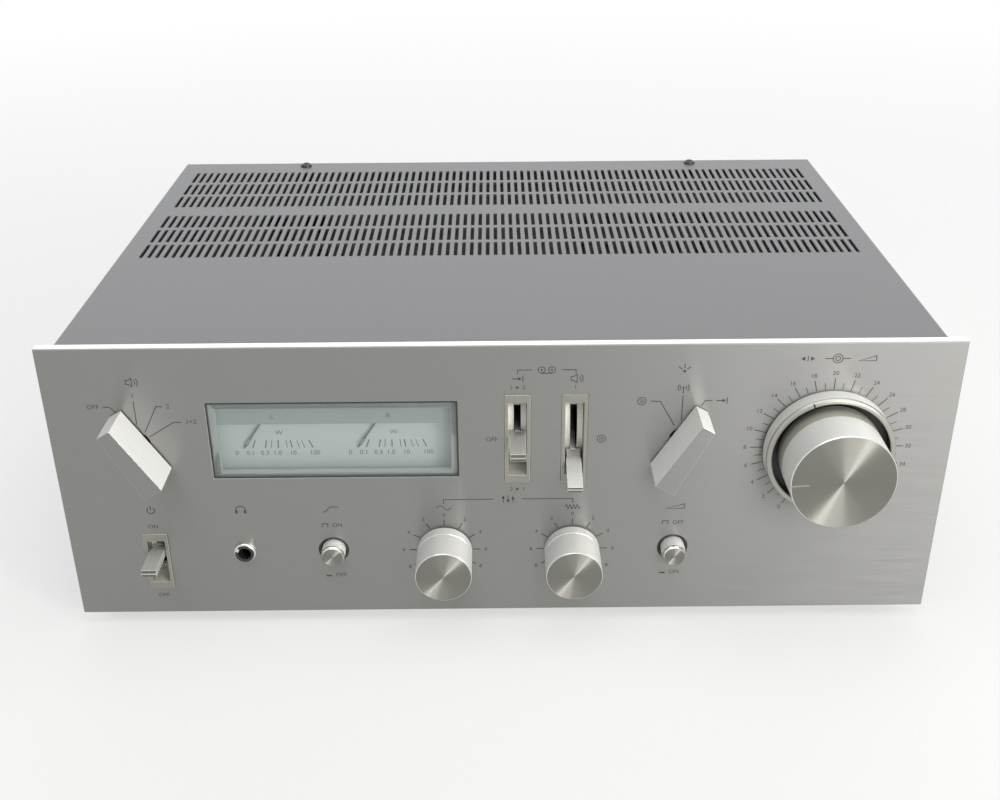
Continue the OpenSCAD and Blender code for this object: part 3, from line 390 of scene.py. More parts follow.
# The dial's own colour, also the painted light on the meter housing's faces that look up
DIAL_AND_LIT_HOUSING = surface("dial", (0.37, 0.40, 0.395), 0.55, scale=1500, vary=0.02)
HEADER = surface("header_strip", (0.18, 0.21, 0.205), 0.45, scale=1500, vary=0.02)
INK = surface("ink", (0.035, 0.035, 0.04), 0.55, scale=2500, vary=0.2)
NEEDLE = surface("needle_black", (0.02, 0.02, 0.02), 0.5, scale=2500, vary=0.2)
LAMP = surface("lamp_glass", (0.85, 0.80, 0.62), 0.15, vary=0.05)
RED = surface("red_insulator", (0.45, 0.03, 0.03), 0.35, scale=1200, vary=0.1)
WHITE = surface("white_insulator", (0.70, 0.70, 0.68), 0.35, scale=1200, vary=0.06)
PANE = clear_pane("meter_pane", (0.75, 0.88, 0.84), 0.08)


# Camera

CAMERA_AT = Vector((-3.2 * MM, PANEL_Y - 517.8 * MM, PANEL_Z + 392.4 * MM))
CAMERA_PITCH = math.radians(27.53)
CAMERA_YAW = math.radians(-0.25)
CAMERA_ROLL = math.radians(-0.39)
CAMERA_LENS = 44.34
SENSOR_WIDTH = 36


def make_camera():
    data = bpy.data.cameras.new("camera")
    data.sensor_fit = "HORIZONTAL"
    data.sensor_width = SENSOR_WIDTH
    data.lens = CAMERA_LENS
    data.clip_start = 10 * MM
    obj = link(bpy.data.objects.new("camera", data))
    aim = Matrix.Rotation(CAMERA_YAW, 4, "Z") @ Matrix.Rotation(math.pi / 2 - CAMERA_PITCH, 4, "X")
    obj.matrix_world = Matrix.Translation(CAMERA_AT) @ aim @ Matrix.Rotation(CAMERA_ROLL, 4, "Z")
    bpy.context.scene.camera = obj


make_camera()


# Mains lead: a flat twin flex on edge, out of its strain relief, down to the floor and into a coil.
# Its route and coil are in millimetres and turns

LEAD_WIDTH = 7.4 * MM
LEAD_THICK = 3.8 * MM
boot_lo, boot_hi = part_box("strain_relief")
LEAD_EXIT = Vector(((boot_lo.x + boot_hi.x) / 2, boot_hi.y, 0)) / MM
LEAD_DROPS = [
    (0, 0, 22), (0, 16, 21.5), (0, 30, 19), (1, 42, 15.5), (6, 56, 11), (15, 69, 7.5),
    (27, 78, 5.2), (41, 84, 4.4), (57, 86, 4.2), (77, 86, 4.2), (95, 86, 4.2), (109, 86, 4.2),
]
LEAD_ROUTE = [LEAD_EXIT + Vector(drop) for drop in LEAD_DROPS]
COIL_RADIUS = 50
COIL_LEAD_IN = 8
COIL_AT = LEAD_ROUTE[-1] + Vector((COIL_LEAD_IN, -COIL_RADIUS, 0))
COIL_STEP = 4.4
COIL_TURNS = 2.75
COIL_CLIMB = 0.5
COIL_DIP = 2.2
COIL_EASE = 0.25
COIL_LOW = 4.2
COIL_RISE = 8
COIL_POINTS = 48
ALL_TURNS = 2 * COIL_TURNS + COIL_CLIMB
TAIL_LENGTH = 40
TAIL_POINTS = 6


def smooth_route(points, pieces=4):
    """Points on one smooth curve through the given ones."""
    route = []
    padded = [2 * points[0] - points[1], *points, 2 * points[-1] - points[-2]]
    for a, b, c, d in zip(padded, padded[1:], padded[2:], padded[3:]):
        for k in range(pieces):
            t = k / pieces
            route.append(0.5 * (2 * b + (c - a) * t + (2 * a - 5 * b + 4 * c - d) * t ** 2
                                + (3 * b - a - 3 * c + d) * t ** 3))
    return route + [points[-1]]


def coil_point(turn):
    """A point of the coil, which spirals in on the floor, climbs and spirals out again above."""
    past = turn - COIL_TURNS
    dip = max(0, min(1, past / COIL_EASE + 1, (COIL_CLIMB - past) / COIL_EASE + 1))
    radius = COIL_RADIUS - COIL_STEP * min(turn, COIL_TURNS, ALL_TURNS - turn) - COIL_DIP * dip
    angle = math.pi / 2 - 2 * math.pi * turn
    height = COIL_LOW + COIL_RISE * min(1, max(0, past / COIL_CLIMB))
    return Vector((COIL_AT.x + radius * math.cos(angle), COIL_AT.y + radius * math.sin(angle), height))


def lead_path():
    start = smooth_route(LEAD_ROUTE)
    coil = [coil_point(k / COIL_POINTS) for k in range(int(ALL_TURNS * COIL_POINTS) + 1)]
    tail = [coil[-1] + Vector((TAIL_LENGTH * k / TAIL_POINTS, 0, 0)) for k in range(1, TAIL_POINTS + 1)]
    return [p * MM for p in start + coil + tail]


def twin_section(steps=10):
    """Outline of a flat twin flex: two round cores with a groove between them."""
    core = LEAD_THICK / 2
    apart = (LEAD_WIDTH - LEAD_THICK) / 2
    reach = math.radians(128)
    outline = []
    for sign in (1, -1):
        for k in range(steps + 1):
            angle = sign * math.pi / 2 - reach * (1 - 2 * k / steps)
            outline.append((core * math.cos(angle), sign * apart + core * math.sin(angle)))
    return outline


def sweep(name, path, section, material):
    """A closed tube of one section along a path, its height kept upright."""
    bm = bmesh.new()
    rings = []
    for i, point in enumerate(path):
        ahead = (path[min(i + 1, len(path) - 1)] - path[max(i - 1, 0)]).normalized()
        side = UP.cross(ahead).normalized()
        top = ahead.cross(side)
        rings.append([bm.verts.new(point + side * u + top * v) for u, v in section])
    for a, b in zip(rings, rings[1:]):
        for k in range(len(section)):
            j = (k + 1) % len(section)
            bm.faces.new((a[k], a[j], b[j], b[k]))
    bm.faces.new(rings[0])
    bm.faces.new(rings[-1])
    return mesh_object(name, bm, material, smooth_angle=50)


def make_plug():
    """Round moulded mains plug with two pins."""
    lo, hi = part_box("mains_plug")
    radius = (hi.y - lo.y) / 2
    at = Vector((lo.x, (lo.y + hi.y) / 2, (lo.z + hi.z) / 2))
    pin_l, pin_r, pin_apart, pin_root = 19 * MM, 2.4 * MM, 13 * MM, 0.5 * MM
    groove_r, rib_r, rib_w, ribs = 4.7 * MM, 5.2 * MM, 0.8 * MM, 4
    body_l = hi.x - lo.x - pin_l
    bm = bmesh.new()
    neck = [(4.5 * MM, 0), (groove_r, 1 * MM)]
    for k in range(ribs):
        base = (2 + 1.7 * k) * MM
        neck += [(rib_r, base), (rib_r, base + rib_w), (groove_r, base + rib_w + 0.2 * MM)]
    body = [
        (6.0 * MM, 10 * MM), (radius * 0.8, 13.5 * MM), (radius * 0.97, 15.5 * MM), (radius, 17 * MM),
        (radius, body_l - 1.2 * MM), (radius - 0.4 * MM, body_l - 0.3 * MM), (radius - 1.1 * MM, body_l),
        (0, body_l),
    ]
    add_lathe(bm, [(0, 0)] + neck + body, at, RIGHT, 64)
    pin_end = pin_l + pin_root
    pin = [(0, 0), (pin_r, 0), (pin_r, pin_end - 1.4 * MM), (1.6 * MM, pin_end - 0.2 * MM), (0, pin_end)]
    for side in (-1, 1):
        foot = at + Vector((body_l - pin_root, side * pin_apart / 2, 0))
        add_lathe(bm, pin, foot, RIGHT, 24, [1] * (len(pin) - 1))
    plug = mesh_object("plug", bm, [PVC, NICKEL])
    return dress(plug, "case", "lead_grey", "mains_plug")


def make_strain_relief():
    """Tapered boot with cut ribs on the rear panel."""
    lo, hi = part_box("strain_relief")
    radius = (hi.x - lo.x) / 2
    length = hi.y - lo.y
    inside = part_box("rear_panel")[1].y - lo.y
    throat = radius - 2 * MM
    profile = [
        (0, 0), (throat, 0), (throat, inside), (radius - 0.5 * MM, inside),
        (radius, inside + 0.5 * MM), (radius, inside + 2.5 * MM),
        (radius - 0.6 * MM, inside + 3.2 * MM), (radius - 1.5 * MM, inside + 4 * MM),
    ]
    ribs, cut_depth = 5, 0.9 * MM
    start = inside + 6 * MM
    pitch = (length - start) / ribs
    for k in range(ribs):
        near = start + k * pitch
        outer = radius - (1.6 + 1.4 * k / ribs) * MM
        inner = outer - cut_depth
        profile += [(outer, near), (inner, near + 0.15 * pitch), (inner, near + 0.4 * pitch),
                    (outer - 0.1 * MM, near + 0.55 * pitch)]
    profile += [(radius - 3.1 * MM, length - 0.3 * MM), (radius - 3.4 * MM, length), (0, length)]
    bm = bmesh.new()
    add_lathe(bm, profile, middle_at(lo, hi, lo.y), REAR, 48)
    dress(mesh_object("boot", bm, PVC), "case", "lead_grey", "strain_relief")


def make_lead():
    path = lead_path()
    lead = sweep("lead", path, twin_section(), PVC)
    dress(lead, "case", "lead_grey", "lead_start", "lead_coil")
    tie = softened("lead_tie", "case", "line_black", BLACK_PLASTIC, 0.1 * MM)
    make_plug()


make_lead()
make_strain_relief()


# Plain dress for the nodes that keep their CAD shape

CAD_LOOKS = {
    PLATED: ["sub_panel", "chassis_pan", "rear_panel"],
    RUBBER: ["feet"],
    PANE: ["meter_window"],
    # The button collars are black to darken the holes round the buttons: painted shade
    BLACK_PLASTIC: ["meter_gasket", "button_collars", "button_switches", "power_switch", "tape_switches",
                    "output_transistors"],
    METER_FRAME: ["meter_movements"],
    LAMP: ["meter_lamps"],
    STEEL: ["speakers_shaft", "function_shaft", "bass_shaft", "treble_shaft", "volume_shaft",
            "balance_sleeve", "bass_pot", "treble_pot", "volume_pot"],
    PHENOLIC: ["speakers_switch", "function_switch"],
    BRASS: ["control_nuts", "board_posts"],
    LAMINATED: ["transformer_core"],
    COPPER: ["transformer_coil"],
    EXTRUDED: ["heat_sink"],
    BOARD: ["main_board"],
    SLEEVE: ["filter_capacitors"],
    COVER_PAINT: ["top_cover"],
}
for look, names in CAD_LOOKS.items():
    for name in names:
        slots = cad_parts[name].data.materials
        slots.clear()
        slots.append(look)


# Front panel, knobs, levers

# Panel and bar knobs: dark copy on the faces that look forward as painted shade, pale copy on the rest as
# painted light
softened("front_panel", "case", "panel_aluminium", [BAR_METAL_LIT, PANEL_METAL_SHADED], 0.25 * MM, pick=faces_front)
for knob, body in (("speakers_knob", "speakers"), ("function_knob", "function")):
    softened(knob, body, "knob_aluminium", [BAR_METAL_LIT, PANEL_METAL_SHADED, EDGE_METAL], 0.3 * MM, 3, faces_front, 2)
LEVERS = {"power_lever": "power", "copy_lever": "copy", "monitor_lever": "monitor"}
# Levers: dark copy on the faces that look forward as painted shade, pale copy on the rest as painted light,
# pale bar metal on the rounded edges as a painted highlight
for name, body in LEVERS.items():
    softened(name, body, "knob_aluminium", [LEVER_METAL_LIT, LEVER_FACE_SHADED, BAR_METAL_LIT], 0.3 * MM,
             pick=faces_front, edges=2)

LEVER_PLACES = [centre(name).x for name in LEVERS]
BEZEL_SLOT = 3.2 * MM
SLOT_SLACK = 0.05 * MM
WELL_DEPTH = 2.5 * MM
DRUM_DEPTH = 8 * MM
DRUM_FACING = 0.3


def bezel_part(face):
    """0 for a bezel's frame and the deeper faces that don't look forward, 1 for the drum's faces that look
    forward and the low end of its well that looks up, which take a pale colour as painted light, 2 for the
    lever's slot.
    """
    mid = face.calc_center_median()
    lever_x = min(LEVER_PLACES, key=lambda x: abs(x - mid.x))
    if faces_up(face) and mid.y < PANEL_Y + DRUM_DEPTH:
        return 1
    if mid.y < PANEL_Y + WELL_DEPTH:
        return 0
    if max(abs(vert.co.x - lever_x) for vert in face.verts) < BEZEL_SLOT / 2 + SLOT_SLACK:
        return 2
    return int(face.normal.y < -DRUM_FACING)


# Bezels: rounded edges take the paler edge colour as a painted highlight; the drum and the well's low end
# take a pale colour as painted light
for name in ("power_bezel", "tape_bezels"):
    softened(name, "case", "bezel_champagne", [BEZEL_METAL, DRUM_METAL_LIT, BLACK_PLASTIC, BEZEL_EDGE_HIGHLIGHT], 0.25 * MM,
             pick=bezel_part, edges=3)


# SIDE and FACE are pale and dark copies of one aluminium, painted light and painted shade; SKIRT is painted
# shade in the ring's well; DARK is black steel, painted shade in that well and the balance index line
TURNED_LOOKS = [SIDE_METAL_LIT, FACE_METAL_SHADED, EDGE_METAL, BLACK_STEEL_AND_WELL_SHADE, SKIRT_SHADE_AND_INDEX_METAL, RING_METAL]
SIDE, FACE, EDGE, DARK, SKIRT, RING = range(len(TURNED_LOOKS))


def turned_piece(node, body, profile_of, groove=None):
    """Replaces a round control by a finely turned one. profile_of gets its radius and length."""
    lo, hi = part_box(node)
    at = middle_at(lo, hi, hi.y)
    radius = (hi.x - lo.x) / 2
    profile, band = profile_of(radius, hi.y - lo.y)
    bm = bmesh.new()
    add_lathe(bm, profile, at, FRONT, 128, band)
    obj = mesh_object(body + "_turned", bm, TURNED_LOOKS)
    if groove:
        cut(obj, groove(at, radius, lo.y))
        obj.data.set_sharp_from_angle(angle=math.radians(SMOOTH_ANGLE))
    dress(obj, body, "knob_aluminium", node)


def tone_profile(radius, length):
    chamfer = 0.3 * MM
    line, line_half, line_depth = 6 * MM, 0.3 * MM, 0.4 * MM
    profile = [
        (0, 0), (radius - chamfer, 0), (radius, chamfer), (radius, line - line_half),
        (radius - line_depth, line), (radius, line + line_half), (radius, length - chamfer),
        (radius - chamfer, length), (0, length),
    ]
    return profile, [SIDE, EDGE, SIDE, EDGE, EDGE, SIDE, EDGE, FACE]


def volume_profile(radius, length):
    chamfer = 0.4 * MM
    # The skirt is the side inside the balance ring's well, darker as painted shade
    skirt = 10.5 * MM
    profile = [
        (0, 0), (radius - chamfer, 0), (radius, chamfer), (radius, skirt), (radius, length - chamfer),
        (radius - chamfer, length), (0, length),
    ]
    return profile, [SIDE, SKIRT, SKIRT, SIDE, EDGE, FACE]


def ring_profile(radius, length):
    chamfer = 0.4 * MM
    inner = radius - 2.8 * MM
    floor = 2.3 * MM
    bore = 4.4 * MM
    crown, crown_steps = 1.5 * MM, 6
    turns = [math.pi / 2 * k / crown_steps for k in range(crown_steps + 1)]
    lip = [(radius - crown * (1 - math.cos(a)), length - crown * (1 - math.sin(a))) for a in turns]
    profile = [
        (bore, 0), (radius - chamfer, 0), (radius, chamfer), *lip, (inner + chamfer, length),
        (inner, length - chamfer), (inner, floor), (bore, floor), (bore, 0),
    ]
    # The well's wall and floor take black steel as painted shade
    return profile, [SIDE, EDGE, SIDE, *[RING] * crown_steps, RING, EDGE, DARK, DARK, SIDE]


def button_profile(radius, length):
    cap = 14.5 * MM
    stem = 2.5 * MM
    chamfer = 0.6 * MM
    back = length - cap
    profile = [
        (0, 0), (stem, 0), (stem, back), (radius, back), (radius, length - 1.6 * MM),
        (radius - 0.35 * MM, length - chamfer), (radius - 0.9 * MM, length), (0, length),
    ]
    return profile, [SIDE, SIDE, SIDE, SIDE, EDGE, EDGE, FACE]


GROOVE_WIDTH = 0.8 * MM
GROOVE_DEPTH = 0.4 * MM
GROOVE_LEAD = 1 * MM
GROOVE_REACH = 1.05


def pointer_groove(degrees, start, look):
    """A cutter for an index line on a turned face, from a share of the radius out past the rim."""
    def make(at, radius, face_y):
        place = Matrix.Translation((at.x, face_y, at.z)) @ Matrix.Rotation(math.radians(degrees), 4, "Y")
        lo = (-GROOVE_WIDTH / 2, -GROOVE_LEAD, radius * start)
        hi = (GROOVE_WIDTH / 2, GROOVE_DEPTH, radius * GROOVE_REACH)
        return box_cutter(place, lo, hi, TURNED_LOOKS, look)
    return make


VOLUME_INDEX = pointer_groove(degrees=-94.4, start=0.63, look=SKIRT)
BALANCE_INDEX = pointer_groove(degrees=-22, start=0.90, look=DARK)
turned_piece("bass_knob", "bass", tone_profile)
turned_piece("treble_knob", "treble", tone_profile)
turned_piece("volume_knob", "volume", volume_profile, VOLUME_INDEX)
turned_piece("balance_ring", "balance", ring_profile, BALANCE_INDEX)
turned_piece("low_filter_button", "low_filter", button_profile)
turned_piece("loudness_button", "loudness", button_profile)

JACK_BORE = 3.25 * MM
NUT_BORE = 4.82 * MM


def make_phones_jack():
    """Ring nut, and a jack whose bush is bright round a dark bore."""
    def bush(face):
        mid = face.calc_center_median() - centre("phones_nut")
        return int(Vector((mid.x, 0, mid.z)).length > JACK_BORE + 0.1 * MM)

    softened("phones_jack", "case", "jack_nickel", [GLOSS_BLACK, NICKEL], 0.1 * MM, pick=bush)
    lo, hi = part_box("phones_nut")
    radius = (hi.x - lo.x) / 2
    height = hi.y - lo.y
    profile = [
        (NUT_BORE, 0), (radius, 0), (radius, height - 0.7 * MM), (radius - 0.25 * MM, height - 0.25 * MM),
        (radius - 0.6 * MM, height), (NUT_BORE, height), (NUT_BORE, 0),
    ]
    bm = bmesh.new()
    add_lathe(bm, profile, middle_at(lo, hi, hi.y), FRONT, 64)
    dress(mesh_object("phones_ring", bm, NICKEL), "case", "jack_nickel", "phones_nut")


make_phones_jack()


# Power meter

DIAL_THICK = 1 * MM
NEEDLE_APART = 56 * MM
dial_lo, dial_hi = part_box("meter_dial")
DIAL_Y = dial_hi.y - DIAL_THICK
softened("meter_dial", "case", "dial_pale", [DIAL_AND_LIT_HOUSING, HEADER], 0.15 * MM,
         pick=lambda face: int(face.calc_center_median().y < DIAL_Y - 0.1 * MM))
# The housing's faces that look up take the dial's paler colour as painted light
softened("meter_housing", "case", "meter_grey", [METER_FRAME, DIAL_AND_LIT_HOUSING], 0.15 * MM, pick=faces_up)


# Rear connectors

def make_jacks():
    """Input jacks: a nickel shell round a coloured insulator, white in the upper row and red in the lower."""
    panel_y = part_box("rear_panel")[1].y
    boxes = islands("rca_jacks")
    middle_z = sum((lo.z + hi.z) / 2 for lo, hi in boxes) / len(boxes)
    shell, neck, washer, contact = 4.15 * MM, 3.4 * MM, 5.6 * MM, 1.6 * MM
    mouth = shell - 1.05 * MM
    bm = bmesh.new()
    for lo, hi in boxes:
        at = middle_at(lo, hi, lo.y)
        out = panel_y - lo.y
        washer_top = out + 0.8 * MM
        floor = out + 2 * MM
        end = hi.y - lo.y
        colour = 1 if at.z > middle_z else 2
        profile = [
            (0, 0), (neck, 0), (neck, out), (washer, out), (washer, washer_top), (shell, washer_top),
            (shell, end - 0.4 * MM), (shell - 0.3 * MM, end), (mouth, end), (mouth, floor),
            (contact, floor), (contact, out), (0, out),
        ]
        add_lathe(bm, profile, at, REAR, 40, [0, 0, 0, colour, colour, 0, 0, 0, 0, colour, 3, 3])
    jacks = mesh_object("jacks", bm, [NICKEL, WHITE, RED, BLACK_PLASTIC])
    dress(jacks, "case", "jack_nickel", "rca_jacks")


make_jacks()
softened("speaker_sockets", "case", "socket_black", GLOSS_BLACK, 0.3 * MM)


# Screws, each with a small round recess

def make_screws():
    head_r, head_h = 3.6 * MM, 2 * MM
    shank_r, tip_r = 2 * MM, 1.4 * MM
    bottom = 20 * MM
    bm = bmesh.new()
    for lo, hi in islands("case_screws"):
        size = hi - lo
        axis = max(range(3), key=lambda i: size[i])
        middle = (lo + hi) / 2
        outward = Vector((0, 0, 0))
        outward[axis] = -1 if middle[axis] < centre("chassis_pan")[axis] or middle.z < bottom else 1
        tip = middle - outward * size[axis] / 2
        top = size[axis]
        shank = top - head_h
        profile = [
            (0, 0), (tip_r, 0), (shank_r, 0.6 * MM), (shank_r, shank), (head_r, shank),
            (head_r, shank + 0.5 * MM), (head_r - 0.3 * MM, shank + 1.3 * MM),
            (head_r - 1.2 * MM, shank + 1.9 * MM), (1.6 * MM, top), (0.9 * MM, top - 1.1 * MM),
            (0, top - 1.3 * MM),
        ]
        add_lathe(bm, profile, tip, outward, 32)
    dress(mesh_object("screws", bm, BLACK_STEEL_AND_WELL_SHADE), "case", "screw_black", "case_screws")


make_screws()


# Printed marks, in millimetres: widths of lines, heights of words and figures

LINE = 0.45
THIN = 0.4
HAIR = 0.35
SELECTOR_TEXT = 2.4
WORD_TEXT = 2.3
VOLUME_TEXT = 2.2
FIGURE_TEXT = 2.1
METER_TEXT = 2.5
HEADER_TEXT = 2.9
REAR_TEXT = 2.8
REAR_FIGURE_TEXT = 2.6
FONT_SHARE = 1.4
MITRE_LEAST = 0.4
ARC_STEP = 12
ARC_LEAST = 6
DOT_SIDES = 16


def polar(radius, degrees):
    """A point round the marks' origin, clockwise from the top."""
    a = math.radians(degrees)
    return radius * math.sin(a), radius * math.cos(a)


def panel_place(node):
    """Place of a node's middle on the panel, in the marks' millimetres."""
    mid = centre(node)
    return mid.x / MM, (mid.z - PANEL_Z) / MM


class Print:
    """Thin marks on an upright plane, to the viewer's right and up from the panel's lower middle."""

    THICK = 0.05 * MM
    SINK = 0.02 * MM

    def __init__(self, plane_y, outward=FRONT):
        self.bm = bmesh.new()
        self.plane_y = plane_y - outward.y * self.SINK
        self.outward = outward
        self.origin = (0, 0)

    def at(self, u, v):
        """The same marks, measured from another point."""
        pen = copy.copy(self)
        pen.origin = (self.origin[0] + u, self.origin[1] + v)
        return pen

    def over(self, node):
        """The same marks, measured from a node's middle."""
        return self.at(*panel_place(node))

    def place(self, u, v):
        u, v = self.at(u, v).origin
        return Vector((-self.outward.y * u * MM, self.plane_y, PANEL_Z + v * MM))

    def spot(self, u, v):
        return self.bm.verts.new(self.place(u, v))

    def fill(self, points):
        self.bm.faces.new([self.spot(u, v) for u, v in points])

    def stroke(self, points, width=LINE, closed=False):
        """A line of even width with mitred corners."""
        pts = [Vector(p) for p in points]
        count = len(pts)
        ways = [(b - a).normalized() for a, b in zip(pts, pts[1:] + pts[:1])]
        left, right = [], []
        for i, p in enumerate(pts):
            here = [ways[k] for k, drawn in ((i - 1, i > 0), (i, i < count - 1)) if drawn or closed]
            along = sum(here, Vector((0, 0))).normalized()
            normal = Vector((-along.y, along.x))
            first = Vector((-here[0].y, here[0].x))
            reach = width / 2 / max(MITRE_LEAST, normal.dot(first))
            left.append(self.spot(*(p + normal * reach)))
            right.append(self.spot(*(p - normal * reach)))
        for i in range(count if closed else count - 1):
            j = (i + 1) % count
            self.bm.faces.new((left[i], left[j], right[j], right[i]))

    def arc(self, u, v, radius, start, end, width=LINE):
        """Part of a circle, with angles clockwise from the top in degrees."""
        closed = abs(end - start) >= 360
        steps = max(ARC_LEAST, int(abs(end - start) / ARC_STEP))
        angles = [start + (end - start) * k / steps for k in range(steps if closed else steps + 1)]
        self.at(u, v).stroke([polar(radius, angle) for angle in angles], width, closed)

    def dot(self, u, v, radius):
        self.at(u, v).fill([polar(radius, 360 * k / DOT_SIDES) for k in range(DOT_SIDES)])

    def ray(self, angle, near, far, width=LINE):
        """A tick that points away from the origin, clockwise from the top in degrees."""
        self.stroke([polar(near, angle), polar(far, angle)], width)

    def text(self, words, u, v, height):
        """Plain words or figures, centred on a point."""
        curve = bpy.data.curves.new("figures", "FONT")
        curve.body = words
        curve.size = height * FONT_SHARE * MM
        curve.align_x = "CENTER"
        curve.align_y = "CENTER"
        curve.resolution_u = 3
        obj = link(bpy.data.objects.new("figures", curve))
        graph = bpy.context.evaluated_depsgraph_get()
        flat = bpy.data.meshes.new_from_object(obj.evaluated_get(graph))
        turn = Matrix.Rotation(0 if self.outward == FRONT else math.pi, 4, "Z")
        flat.transform(Matrix.Translation(self.place(u, v)) @ turn @ Matrix.Rotation(math.pi / 2, 4, "X"))
        self.bm.from_mesh(flat)
        bpy.data.objects.remove(obj)
        bpy.data.meshes.remove(flat)

    def finish(self, name):
        """Gives the marks their thickness and makes them a piece of the case."""
        made = bmesh.ops.extrude_face_region(self.bm, geom=self.bm.faces[:], use_keep_orig=True)
        front = [g for g in made["geom"] if isinstance(g, bmesh.types.BMVert)]
        bmesh.ops.translate(self.bm, vec=self.outward * self.THICK, verts=front)
        dress(mesh_object(name, self.bm, INK), "case", "line_black")


def icon_speaker(pen):
    pen.stroke([(-2.2, -1), (-1, -1), (0.6, -2.2), (0.6, 2.2), (-1, 1), (-2.2, 1)], THIN, True)
    for radius in (1.6, 2.8):
        pen.arc(0.6, 0, radius, 45, 135, THIN)


def icon_power(pen):
    pen.arc(0, 0, 1.9, 35, 325, 0.5)
    pen.stroke([(0, 0.3), (0, 2.6)], 0.5)


def icon_headphones(pen):
    pen.arc(0, -0.6, 2.4, -90, 90)
    for side in (-1, 1):
        inner, outer = side * 1.6, side * 2.7
        pen.fill([(outer, -0.4), (outer, -2.4), (inner, -2.4), (inner, -0.4)])


def icon_filter(pen):
    pen.stroke([(-4, -1.6), (-2.6, -1.5), (-0.8, 0.8), (0.2, 1.3), (4, 1.3)])


def icon_wedge(pen, width):
    half, rise = width / 2, 1.3
    pen.stroke([(-half, -rise), (half, -rise), (half, rise)], THIN, True)


def icon_wave(pen, waves):
    half, rise = 3.6, 1.2
    turn = 2 * math.pi * waves
    shares = [k / (10 * waves) for k in range(10 * waves + 1)]
    pen.stroke([(-half + 2 * half * s, rise * math.sin(turn * s)) for s in shares], THIN)


def icon_reels(pen):
    for side in (-1, 1):
        pen.arc(side * 2.4, 0, 1.6, 0, 360, THIN)
        pen.dot(side * 2.4, 0, 0.5)
    pen.stroke([(-2.4, -1.8), (2.4, -1.8)], THIN)


def icon_disc(pen):
    pen.arc(0, 0, 2, 0, 360, THIN)
    pen.arc(0, 0, 0.9, 0, 360, 0.3)
    pen.dot(0, 0, 0.3)


def icon_aerial(pen):
    pen.stroke([(0, -2), (0, 0.8)])
    pen.dot(0, 1, 0.5)
    for radius in (1.5, 2.6):
        pen.arc(0, 1, radius, 50, 130, THIN)
        pen.arc(0, 1, radius, -130, -50, THIN)


def icon_input(pen):
    pen.stroke([(-2.6, 0), (0.6, 0)])
    pen.fill([(0.4, -1), (1.9, 0), (0.4, 1)])
    pen.stroke([(2.5, -1.7), (2.5, 1.7)])


def icon_select(pen):
    foot = pen.at(0, -1.8)
    foot.dot(0, 0, 0.7)
    for angle in (-50, 0, 50):
        foot.ray(angle, 1.5, 3.8)


def icon_released(pen):
    pen.stroke([(-1.4, -1), (-1.4, 1), (1.4, 1), (1.4, -1)])


def icon_pressed(pen):
    pen.fill([(-1.4, -0.9), (1.4, -0.9), (1.4, 0), (-1.4, 0)])


def triangle(pen, way, size=1.1):
    pen.fill([(-way * size * 0.8, -size), (-way * size * 0.8, size), (way * size, 0)])


def selector_marks(pen):
    """Leader lines of the loudspeaker switch, about its axis."""
    pen.stroke([(-14.8, 19.5), (-11.9, 19.5), (-8.9, 16.5)])
    pen.stroke([(0, 22.4), (0, 10)])
    pen.stroke([(13.3, 19.5), (10.3, 19.5), (3.4, 5.8)])
    pen.stroke([(21.4, 11), (17.7, 11), (5.4, 3.3)])
    pen.text("OFF", -19.6, 19.5, SELECTOR_TEXT)
    pen.text("1", 0, 25.4, SELECTOR_TEXT)
    pen.text("2", 16, 19.5, SELECTOR_TEXT)
    pen.text("1+2", 26, 11.2, SELECTOR_TEXT)
    icon_speaker(pen.at(0, 32.5))


def function_marks(pen):
    """Leader lines of the source switch, about its axis."""
    pen.stroke([(-15.1, 20.2), (-10.6, 20), (-3.2, 6.9)])
    pen.stroke([(0, 22.9), (0, 9.5)])
    pen.stroke([(14.1, 20.2), (10.7, 20.2), (9.2, 17.4)])
    icon_disc(pen.at(-19.4, 20.2))
    icon_aerial(pen.at(0, 26.2))
    icon_input(pen.at(18.6, 20.2))
    icon_select(pen.at(0, 37.7))


def tone_marks(pen):
    """Ticks round a tone knob, numbered from 0 at the top to 8 at both ends."""
    for step in range(-4, 5):
        angle = 30 * step
        pen.ray(angle, 14.2, 17.8, 0.5)
        pen.text(str(2 * abs(step)), *polar(20.7, angle), FIGURE_TEXT)


def volume_marks(pen):
    """Ticks round the volume knob, every second one numbered, and the signs of balance and volume."""
    for number in range(41):
        angle = -150 + 7.5 * number
        if number % 2:
            pen.ray(angle, 31.2, 34.8, HAIR)
            continue
        pen.ray(angle, 31.2, 37)
        pen.text(str(number), *polar(39.6, angle), VOLUME_TEXT)
    top, apart = pen.at(0, 47.3), 14
    for radius in (2.3, 1.1):
        top.arc(0, 0, radius, 0, 360, THIN)
    for side in (-1, 1):
        top.stroke([(side * 2.5, 0), (side * 6, 0)], THIN)
        triangle(top.at(side * 2.2 - apart, 0), side)
    top.stroke([(-apart, -1.4), (-apart, 1.4)], THIN)
    icon_wedge(top.at(apart, 0), 8)


def power_marks(pen):
    icon_power(pen.at(0, 25.4))
    pen.text("ON", 0, 15.8, WORD_TEXT)
    pen.text("OFF", 0, -26, WORD_TEXT)


def button_marks(pen, icon_shift, out_word, in_word):
    """Signs and words for a button's two states: above it for out, below it for in."""
    for sign, (word, shift), height in ((icon_released, out_word, 15), (icon_pressed, in_word, -15)):
        sign(pen.at(-icon_shift, height))
        pen.text(word, shift, height, WORD_TEXT)


def bracket(pen, low, high, reach):
    """A line up from a control's sign and across towards the middle of its group."""
    pen.stroke([(0, low), (0, high), (reach, high)], THIN)


